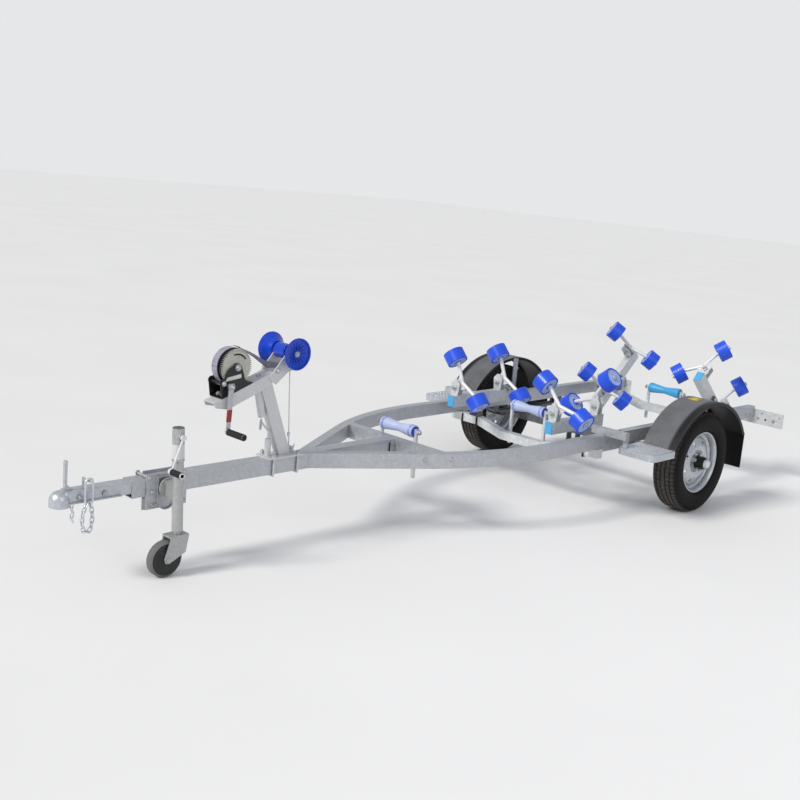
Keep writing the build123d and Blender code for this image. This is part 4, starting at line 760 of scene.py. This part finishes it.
def strap():
    """Webbing led through its sections."""
    outline = STRAP_HALF + tuple((-edge, -rise) for edge, rise in STRAP_HALF)
    rings = []
    for step in range(STRAP_STEPS + 1):
        t = step / STRAP_STEPS * (len(STRAP_SECTIONS) - 1)
        low = min(int(t), len(STRAP_SECTIONS) - 2)
        part = t - low
        a, b = STRAP_SECTIONS[low], STRAP_SECTIONS[low + 1]
        x, y, z, fold, width = (p + (q - p) * part for p, q in zip(a, b))
        across = Vector((0, cos(radians(fold)), -sin(radians(fold))))
        lift = Vector((0, sin(radians(fold)), cos(radians(fold))))
        rings.append([Vector((x, y, z)) + across * edge * width + lift * rise for edge, rise in outline])
    mesh = bmesh.new()
    solid(mesh, rings)
    # The strap takes the darker webbing: painted shade
    made = piece("shaded_strap_webbing", mesh, CHASSIS, SHADED_STRAP, "chassis", smooth=30.0)
    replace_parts(made, "winch_strap")


strap()

# Rope from the bow roller's bracket down to its hook
ROPE_ROUTE = ((2461.0, 0.0, 424.0), (2455.0, 0.0, 300.0), (2444.0, 0.0, 108.0))
ROPE_R = 0.0025


def rope():
    """Taut rope as a thick curve through its route."""
    curve = bpy.data.curves.new("taut_rope", "CURVE")
    curve.dimensions = "3D"
    curve.bevel_depth = ROPE_R
    curve.bevel_resolution = 4
    curve.resolution_u = 24
    curve.use_fill_caps = True
    spline = curve.splines.new("NURBS")
    spline.points.add(len(ROPE_ROUTE) - 1)
    for point, place in zip(spline.points, ROPE_ROUTE):
        point.co = (*(CHASSIS @ Vector(place)), 1)
    spline.order_u = 3
    spline.use_endpoint_u = True
    curve.materials.append(ROPE)
    made = bpy.data.objects.new("taut_rope", curve)
    bpy.context.scene.collection.objects.link(made)
    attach(made, "chassis")
    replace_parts(made, "winch_rope")
    return made


taut_rope = rope()

# Hull rollers: face of a hub as (distance out from its foot, radius)
HUB_FACE_SECTION = ((0, 19.5), (3.2, 20.5), (3.6, 24), (1.8, 28), (1.6, 44), (3.4, 47), (3.4, 51), (0, 52.5))
HUB_FACE_FOOT = ROLLER_W / 2 - 4.8
AXLE_END = ROLLER_Y + ROLLER_W / 2 + 4.5
ARM_PIN_END = 32.0
MOUNT_PIN_END = 42.5
PLUG_T, PLUG_INSET = 4, 1


def arm_details(rocker, end, letter):
    """Hub faces of a pair of hull rollers, with the nuts of its axle and of its arm's pivot."""
    name = f"{rocker.name}_{letter}"
    mesh = bmesh.new()
    for side in (-1, 1):
        for face in (-1, 1):
            section = [(face * (HUB_FACE_FOOT + rise), radius) for rise, radius in HUB_FACE_SECTION]
            lathe(mesh, section, (0, side * ROLLER_Y, BOOM_RISE), 64)
    place = arm_place(rocker, end)
    piece(f"roller_faces_{name}", mesh, place, HUB_FACE, f"hull_rollers_{name}")
    ends = [((0, side * AXLE_END, BOOM_RISE), (0, side, 0)) for side in (-1, 1)]
    nuts(f"axle_nuts_{name}", f"wobble_{name}", ends, 20.0, 7.0, place, thread=False)
    pins = [((sign * ARM_PIN_END, 0, 0), (sign, 0, 0)) for sign in (-1, 1)]
    nuts(f"pivot_nuts_{name}", f"rocker_{rocker.name}", pins, 18.0, 8.0, arm_seat(rocker, end))


def beam_details(rocker):
    """Plugs in the ends of a rocker beam and the nuts of its pivot."""
    mesh = bmesh.new()
    half_w, half_h = BEAM_W / 2 - PLUG_INSET, BEAM_H / 2 - PLUG_INSET
    for end in (-1, 1):
        face = end * BEAM_L / 2
        rounded_box(mesh, (face, -half_w, -half_h), (face + end * PLUG_T, half_w, half_h), 1.6)
    seat = rocker_place(rocker)
    piece(f"beam_plugs_{rocker.name}", mesh, seat, PLUG_BLUE, f"rocker_{rocker.name}")
    pivot_y = rocker.side * BEAM_Y
    pins = [((rocker.x, pivot_y + sign * MOUNT_PIN_END, rocker.z), (0, sign, 0)) for sign in (-1, 1)]
    nuts(f"mount_nuts_{rocker.name}", "chassis", pins, 18.0, 8.0)


for rocker in ROCKERS:
    arm_details(rocker, 0, "a")
    arm_details(rocker, 1, "b")
    beam_details(rocker)

# Bow roller: fins in the open face of each bell as (radius, Y), and the boss of its bolt
FINS, FIN_HALF = 16, 1.2
FIN_OUTLINE = ((16, 84), (63, 88), (68, 94), (16, 90))
BOSS_SECTION = ((84, 12), (92, 12), (93, 14), (92, 19), (84, 20))


def bow_roller_details():
    """Fins, bosses and nuts of the bow roller."""
    mesh = bmesh.new()
    for side in (-1, 1):
        for index in range(FINS):
            turn = Matrix.Translation(BOW) @ Matrix.Rotation(-2 * pi * index / FINS, 4, "Y")
            faces = (-FIN_HALF, FIN_HALF)
            solid(mesh, [[turn @ Vector((r, side * y, z)) for r, y in FIN_OUTLINE] for z in faces])
        lathe(mesh, facing(BOSS_SECTION, side), BOW, 48)
    piece("bell_fins", mesh, CHASSIS, DEEP_BLUE, "bow_roller")
    nuts("bow_nuts", "bow_roller", mirrored([((BOW[0], 93, BOW[2]), OUT)]), 17.0, 6.0)


bow_roller_details()

# Keel rollers: dark rings in the end faces and two raised bands near each end
END_RING = ((115, 10), (115.6, 12), (115.6, 27), (115, 28))
BAND_AT = (104, 96)
BAND_SECTION = ((0, 32.8), (-1, 33.5), (-3, 33.5), (-4, 32.8))
KEEL_BOLT_END = 146.0


def keel_roller_details(label, x, z):
    """Nuts, end rings and bands of one keel roller."""
    bolt_ends = mirrored([((x, KEEL_BOLT_END, z), OUT)])
    nuts(f"keel_nuts_{label}", "chassis", bolt_ends, 18.0, 7.0)
    mesh = bmesh.new()
    for side in (-1, 1):
        lathe(mesh, facing(END_RING, side), (x, 0, z), 48)
        for start in BAND_AT:
            lathe(mesh, facing([(start + y, r) for y, r in BAND_SECTION], side), (x, 0, z), 64)
    colour = CYAN if label == "rear" else DEEP_BLUE
    piece(f"keel_rings_{label}", mesh, CHASSIS, colour, f"keel_roller_{label}")


for label, x, z in KEEL_ROLLERS:
    keel_roller_details(label, x, z)


def ribbed_grip(name, body, place, centre, y0, y1, radius, ribs):
    """Black ribbed sleeve along Y with a rounded end."""
    step = (y1 - y0 - 14) / ribs
    crest, root = radius + 1, radius + 0.2
    profile = [(y0, radius - 3), (y0 + 1, crest)]
    for index in range(ribs):
        y = y0 + 5 + index * step
        profile += [(y, crest), (y + step * 0.3, root), (y + step * 0.7, root), (y + step, crest)]
    profile += [(y1 - 3, crest), (y1, radius - 1), (y1 + 1, radius - 5)]
    mesh = bmesh.new()
    turned_solid(mesh, profile, centre, 48)
    piece(name, mesh, place, BLACK_RUBBER, body)


def slab(name, outline, near, far, material, body):
    """Flat plate between two distances along Y, from an outline of (X, Z)."""
    mesh = bmesh.new()
    solid(mesh, [[(x, y, z) for x, z in outline] for y in (near, far)])
    piece(name, mesh, CHASSIS, material, body, smooth=None)


# Winch crank: red band and ribbed grip
CRANK_L, CRANK_SET = 202.0, 10.0
CRANK_HALF, CRANK_TAPER = 13.4, 2.6
BAND_FOOT, BAND_TOP = 213.0, 268.0


def crank_edge(z):
    """Edges of the crank's band at a height, as (rear X, front X)."""
    part = (PINION_Z - z) / CRANK_L
    x, half = PINION_X + CRANK_SET * part, CRANK_HALF - CRANK_TAPER * part
    return x - half, x + half


def winch_crank_details():
    """Grip, red band and nut of the winch crank."""
    tip = (PINION_X + CRANK_SET, 0, PINION_Z - CRANK_L)
    ribbed_grip("winch_grip", "winch_crank", CHASSIS, tip, 68, 182, 14.5, ribs=9)
    (rear_foot, front_foot), (rear_top, front_top) = crank_edge(BAND_FOOT), crank_edge(BAND_TOP)
    outline = [(rear_foot, BAND_FOOT), (front_foot, BAND_FOOT), (front_top, BAND_TOP), (rear_top, BAND_TOP)]
    slab("crank_band", outline, 64.6, 57.4, RED, "winch_crank")
    nuts("crank_nut", "winch_crank", [((PINION_X, 66, PINION_Z), OUT)], 19.0, 7.0)


winch_crank_details()

# Winch plates: bolts through the plates, bolts on the sloping arm as (x, y, lift), blank label
WINCH_BOLTS = [((2868.0, 44.0, 384.0), OUT), ((2868.0, -59.0, 384.0), (0, -1, 0))]
WINCH_BOLTS += mirrored([((2571.0, 52.0, 422.0), OUT)])
ARM_FOOT_X, ARM_FOOT_Z, ARM_SLOPE = 2912.0, 298.0, radians(20.0)
ARM_BOLTS = ((2846.0, -24.0, 4.2), (2846.0, 8.0, 4.2), (2724.0, -24.0, 4.2), (2646.0, 0.0, 0.2))
LABEL_STRIP = ((2858.0, 391.0), (2769.0, 403.0), (2772.0, 421.0), (2846.0, 409.0))


def winch_plate_details():
    """Bolts and blank label of the winch."""
    nuts("plate_bolts", "chassis", WINCH_BOLTS, 16.0, 7.0, thread=False)
    up_slope = (sin(ARM_SLOPE), 0, cos(ARM_SLOPE))
    bolts = []
    for x, y, lift in ARM_BOLTS:
        bolts.append(((x, y, ARM_FOOT_Z + (ARM_FOOT_X - x) * tan(ARM_SLOPE) + lift), up_slope))
    nuts("arm_bolts", "chassis", bolts, 16.0, 6.0, thread=False)
    slab("blank_strip", LABEL_STRIP, 38.5, 37.9, LABEL, "chassis")


winch_plate_details()

# Jack: crank grip, cap, blank label round the tube, collar, wheel faces and clamp bolts
JACK_CRANK_Z, JACK_CRANK_L, JACK_CRANK_LEAN = 203.0, 148.0, radians(23.0)
CAP_Z, CAP_PROFILE = 236, ((2, 25.4), (4.2, 25.4), (5.4, 24.0), (5.8, 16))
COLLAR_Z, COLLAR_PROFILE = 96, ((0, 24.6), (1, 27.4), (9, 27.4), (10, 26))
LABEL_R, LABEL_T, LABEL_FOOT, LABEL_TOP = 26.4, 0.6, 107.0, 171.0
LABEL_FROM, LABEL_SWEEP, LABEL_STEPS = -55, 200, 24
JACK_WHEEL_FACE = ((21, 70), (22, 68), (22, 64), (21.4, 60), (21.4, 30), (22.4, 28), (22.4, 12), (21, 11))
# Clamp bolts as (X from the jack, Z), on the near face and on the far face
CLAMP_NEAR = ((82, 8), (-96, 8), (50, -116), (-96, -116), (67, -58), (67, -116))
CLAMP_FAR = ((82, 8), (-96, 8), (50, -116), (-96, -116), (37, -127), (37, -156))
CLAMP_NEAR_Y, CLAMP_FAR_Y = 45.6, -43.6


def jack_label():
    """Blank patch bent round the tube."""
    outer, inner = LABEL_R, LABEL_R - LABEL_T
    corners = ((outer, LABEL_FOOT), (outer, LABEL_TOP), (inner, LABEL_TOP), (inner, LABEL_FOOT))
    columns = []
    for index in range(LABEL_STEPS + 1):
        angle = radians(LABEL_FROM + LABEL_SWEEP * index / LABEL_STEPS)
        columns.append([(JACK_X + r * cos(angle), JACK_Y + r * sin(angle), z) for r, z in corners])
    mesh = bmesh.new()
    solid(mesh, columns)
    piece("jack_label", mesh, JACK, LABEL, "jack", smooth=40.0)


def jack_details():
    """What the scene adds to the jack."""
    reach, drop = JACK_CRANK_L * sin(JACK_CRANK_LEAN), JACK_CRANK_L * cos(JACK_CRANK_LEAN)
    tip = (JACK_X + reach, 0, JACK_CRANK_Z - drop)
    ribbed_grip("jack_grip", "jack_crank", JACK, tip, 181, 253, 13.0, ribs=6)
    mesh = bmesh.new()
    prism(mesh, Matrix.Translation((JACK_X, JACK_Y, CAP_Z)), CAP_PROFILE, 48)
    piece("jack_cap", mesh, JACK, DARK, "jack")
    jack_label()
    mesh = bmesh.new()
    prism(mesh, Matrix.Translation((JACK_X, JACK_Y, COLLAR_Z)), COLLAR_PROFILE, 48)
    piece("jack_collar", mesh, JACK, FASTENER, "jack")
    mesh = bmesh.new()
    for side in (-1, 1):
        lathe(mesh, facing(JACK_WHEEL_FACE, side), JACK_WHEEL, 64)
    piece("jack_wheel_faces", mesh, MILLIMETRES, BLACK_PAINT, "jack_wheel")
    bolts = [((JACK_X + x, CLAMP_NEAR_Y, z), OUT) for x, z in CLAMP_NEAR]
    bolts += [((JACK_X + x, CLAMP_FAR_Y, z), (0, -1, 0)) for x, z in CLAMP_FAR]
    nuts("jack_clamp_bolts", "chassis", bolts, 15.0, 6.0)


jack_details()

# Other fasteners on the chassis, given for the left side
WING_BOLTS = ((482.0, 540.1, -80.0), (608.0, 540.1, -80.0), (482.0, 540.1, 4.0))
POST_BOLTS = ((2416.0, 45.0, 16.0), (2561.0, 45.0, 16.0))
COUPLER_BOLTS = ((3555.0, 38.0, -30.0), (3440.0, 38.0, -30.0))
RAIL_END_BOLTS = ((-1090.0, RAIL_Y, -56.0), (-1040.0, RAIL_Y, -56.0))
# Lamp plates: front and rear face, and bolts as (y, z)
PLATE_FRONT, PLATE_REAR = -1134.9, -1139.2
PLATE_BOLTS = ((567.0, -74.0), (675.0, -76.0))
# Bolts in the bent rails: x, y, and how far the rail's face is turned, in degrees
BEND_BOLTS = ((1834.7, 329.5, 28.8), (1712.4, 392.3, 24.8))
BEND_BOLT_Z = -29.5
BRACKET_BOLT = (1772.0, 37.6, -39.0)


def chassis_bolts():
    """One piece of the bolts in the frame."""
    places = [(point, OUT) for point in WING_BOLTS + COUPLER_BOLTS + RAIL_END_BOLTS]
    places += [(point, UP) for point in POST_BOLTS]
    for y, z in PLATE_BOLTS:
        places += [((PLATE_FRONT, y, z), AHEAD), ((PLATE_REAR, y, z), BACK)]
    for x, y, slant in BEND_BOLTS:
        places.append(((x, y, BEND_BOLT_Z), (sin(radians(slant)), cos(radians(slant)), 0)))
    nuts("chassis_bolts", "chassis", mirrored(places) + [(BRACKET_BOLT, OUT)], 15.0, 6.0)


chassis_bolts()

# Black clamp bars as (low corner, high corner, radius): Y from the clamp's middle round the middle
# cross member, and X from the leg on the drawbar's bracket
CLAMP_AT = (-455.0, -340.0, 340.0, 455.0)
CLAMP_BARS = (
    ((617, -5, -134), (677, 5, -125.2), 3.0),
    ((672.2, -5, -134), (681, 5, -76), 3.0),
    ((613, -5, -134), (621.8, 5, -76), 3.0),
)
BRACKET_LEGS = (1744.0, 1792.0)
BRACKET_LEG = ((0, 37.6, -66), (8, 44.0, -12), 2.5)
# Open holes in the lamp plates, covered by dark discs of painted shade: y, z, radius
PLATE_HOLES = ((620.0, -77.0, 7.0), (712.0, -50.0, 4.0), (590.0, -40.0, 4.0))
HOLE_T = 0.3


def clamp_bars():
    """Bars of the clamps that hold the middle cross member and the drawbar's bracket."""
    mesh = bmesh.new()
    for y in CLAMP_AT:
        for (x0, y0, z0), (x1, y1, z1), radius in CLAMP_BARS:
            rounded_box(mesh, (x0, y + y0, z0), (x1, y + y1, z1), radius)
    (x0, y0, z0), (x1, y1, z1), radius = BRACKET_LEG
    for x in BRACKET_LEGS:
        rounded_box(mesh, (x + x0, y0, z0), (x + x1, y1, z1), radius)
    piece("clamp_bars", mesh, CHASSIS, BLACK_PAINT, "chassis")


def plate_hole_shade():
    """Dark discs in the open holes of the lamp plates: painted shade."""
    mesh = bmesh.new()
    for side in (-1, 1):
        for y, z, radius in PLATE_HOLES:
            for x, direction in ((PLATE_FRONT, AHEAD), (PLATE_REAR + 0.1, BACK)):
                hole = Matrix.Translation((x, side * y, z)) @ aim(direction)
                prism(mesh, hole, [(0.0, radius), (HOLE_T, radius)], 24)
    piece("plate_hole_shade", mesh, CHASSIS, BLACK_RUBBER, "chassis", smooth=None)


clamp_bars()
plate_hole_shade()

# Steps: short raised bars in turn along each diagonal of the tread plate
STEP_TOP = 425.0 - RAIL_TOP
STEP_X, STEP_Y = (382.0, 594.0), (629.0, 853.0)
STEP_CORNER_R = 32.0
STEP_BAR_X, STEP_BAR_Y = 560.0, 685.0
BAR_PITCH, BAR_L, BAR_W, BAR_H = 17.0, 15.0, 4.6, 1.3
BAR_MIDDLE_X, BAR_MIDDLE_Y, BAR_ROWS = 488.0, 741.0, 12
# A bar's outline as shares of its length and width, and its rings as (height, share)
BAR_OUTLINE = ((-0.5, 0), (-0.3, -0.42), (0, -0.5), (0.3, -0.42))
BAR_OUTLINE += tuple((-along, -across) for along, across in BAR_OUTLINE)
BAR_RINGS = ((-0.3, 1.0), (BAR_H * 0.4, 0.96), (BAR_H, 0.72))


def on_step(x, y):
    """Whether a bar's middle lies on the plate: off its edges, round corners and bracket."""
    if not (STEP_X[0] < x < STEP_X[1] and STEP_Y[0] < y < STEP_Y[1]):
        return False
    if x > STEP_BAR_X and y < STEP_BAR_Y:
        return False
    past_x = max(x - (STEP_X[1] - STEP_CORNER_R), 0.0)
    past_y = max(y - (STEP_Y[1] - STEP_CORNER_R), STEP_Y[0] + STEP_CORNER_R - y, 0.0)
    return past_x**2 + past_y**2 < STEP_CORNER_R**2


def tread_bars_painted_glint():
    """Bars of both tread plates, leaning left and right in turn."""
    mesh = bmesh.new()
    spacing = cos(radians(45)) * BAR_PITCH
    rows = range(-BAR_ROWS, BAR_ROWS + 1)
    for side in (-1, 1):
        for u, v in [(u, v) for u in rows for v in rows if (u + v) % 2 == 0]:
            x, y = BAR_MIDDLE_X + u * spacing, BAR_MIDDLE_Y + v * spacing
            if not on_step(x, y):
                continue
            lean = Matrix.Rotation(radians(45 if u % 2 else -45), 4, "Z")
            seat = Matrix.Translation((x, side * y, STEP_TOP)) @ lean
            rings = []
            for height, share in BAR_RINGS:
                long, wide = BAR_L * share, BAR_W * share
                rings.append([seat @ Vector((a * long, b * wide, height)) for a, b in BAR_OUTLINE])
            solid(mesh, rings)
    # The bars take the paler zinc: painted glint
    piece("tread_bars_painted_glint", mesh, CHASSIS, TREAD_BARS_PAINTED_GLINT, "chassis", smooth=40.0)


tread_bars_painted_glint()

# Blank sticker on the crown of the near mudguard
STICKER_FROM, STICKER_SWEEP, STICKER_STEPS = 84, 9, 6
STICKER_Y = (TRACK / 2 - 62, TRACK / 2 + 6)
STICKER_R = GUARD_R + 0.4


def guard_sticker():
    """Thin patch bent along the mudguard."""
    mesh = bmesh.new()
    rows = []
    for index in range(STICKER_STEPS + 1):
        angle = radians(STICKER_FROM + STICKER_SWEEP * index / STICKER_STEPS)
        row = [polar((GUARD_X, 0, GUARD_Z), y, STICKER_R, angle) for y in STICKER_Y]
        rows.append([mesh.verts.new(point) for point in row])
    for low, high in zip(rows, rows[1:]):
        mesh.faces.new((low[0], low[1], high[1], high[0]))
    thin = [shell(0.0004, offset=1.0)]
    piece("guard_sticker", mesh, CHASSIS, YELLOW, "chassis", smooth=40.0, modifiers=thin)


guard_sticker()

# Studio: plain pale floor, pale surround, soft lights
FLOOR_SIZE = 60
FLOOR_TONES = ((0.76, 0.755, 0.75), (0.79, 0.785, 0.78))
SEEN_SKY, SEEN_POWER = (0.79, 0.80, 0.81, 1), 1.0
SOFT_SKY, SOFT_POWER = (0.90, 0.94, 1.0, 1), 0.55


def studio_floor():
    """Floor that shows in the picture and belongs to no body."""
    look = Look("studio_floor")
    colour = look.ramp(look.noise(0.6, 3.0), (0.3, FLOOR_TONES[0]), (0.7, FLOOR_TONES[1]))
    look.finish(colour, look.span(look.noise(3.0), 0.8, 0.9))
    mesh = bmesh.new()
    bmesh.ops.create_grid(mesh, x_segments=2, y_segments=2, size=FLOOR_SIZE)
    data = bpy.data.meshes.new("floor")
    mesh.to_mesh(data)
    mesh.free()
    data.materials.append(look.material)
    floor = bpy.data.objects.new("floor", data)
    bpy.context.scene.collection.objects.link(floor)


def surround():
    """World that the camera sees in one tone and that lights the trailer in another."""
    world = bpy.data.worlds.new("world")
    bpy.context.scene.world = world
    world.use_nodes = True
    nodes, links = world.node_tree.nodes, world.node_tree.links
    nodes.clear()
    out = nodes.new("ShaderNodeOutputWorld")
    path = nodes.new("ShaderNodeLightPath")
    blend = nodes.new("ShaderNodeMixShader")
    links.new(path.outputs["Is Camera Ray"], blend.inputs[0])
    for target, colour, power in ((1, SOFT_SKY, SOFT_POWER), (2, SEEN_SKY, SEEN_POWER)):
        sky = nodes.new("ShaderNodeBackground")
        sky.inputs[0].default_value = colour
        sky.inputs[1].default_value = power
        links.new(sky.outputs[0], blend.inputs[target])
    links.new(blend.outputs[0], out.inputs[0])


def light(name, kind, direction, colour, power, place=(0, 0, 0), **values):
    """Light that shines along a direction."""
    data = bpy.data.lights.new(name, kind)
    data.color = colour
    data.energy = power
    for key, value in values.items():
        setattr(data, key, value)
    lamp = bpy.data.objects.new(name, data)
    lamp.location = place
    lamp.rotation_euler = Vector(direction).to_track_quat("-Z", "Y").to_euler()
    bpy.context.scene.collection.objects.link(lamp)


studio_floor()
surround()
light("key", "SUN", (-0.78, 0.12, -0.62), (1.0, 0.97, 0.93), 2.6, angle=radians(16))
light("fill", "AREA", (-2.0, -7.0, -4.0), (0.93, 0.96, 1.0), 110, place=(2.0, 7.0, 4.5), size=5.0)
bpy.context.scene.view_settings.view_transform = "Standard"
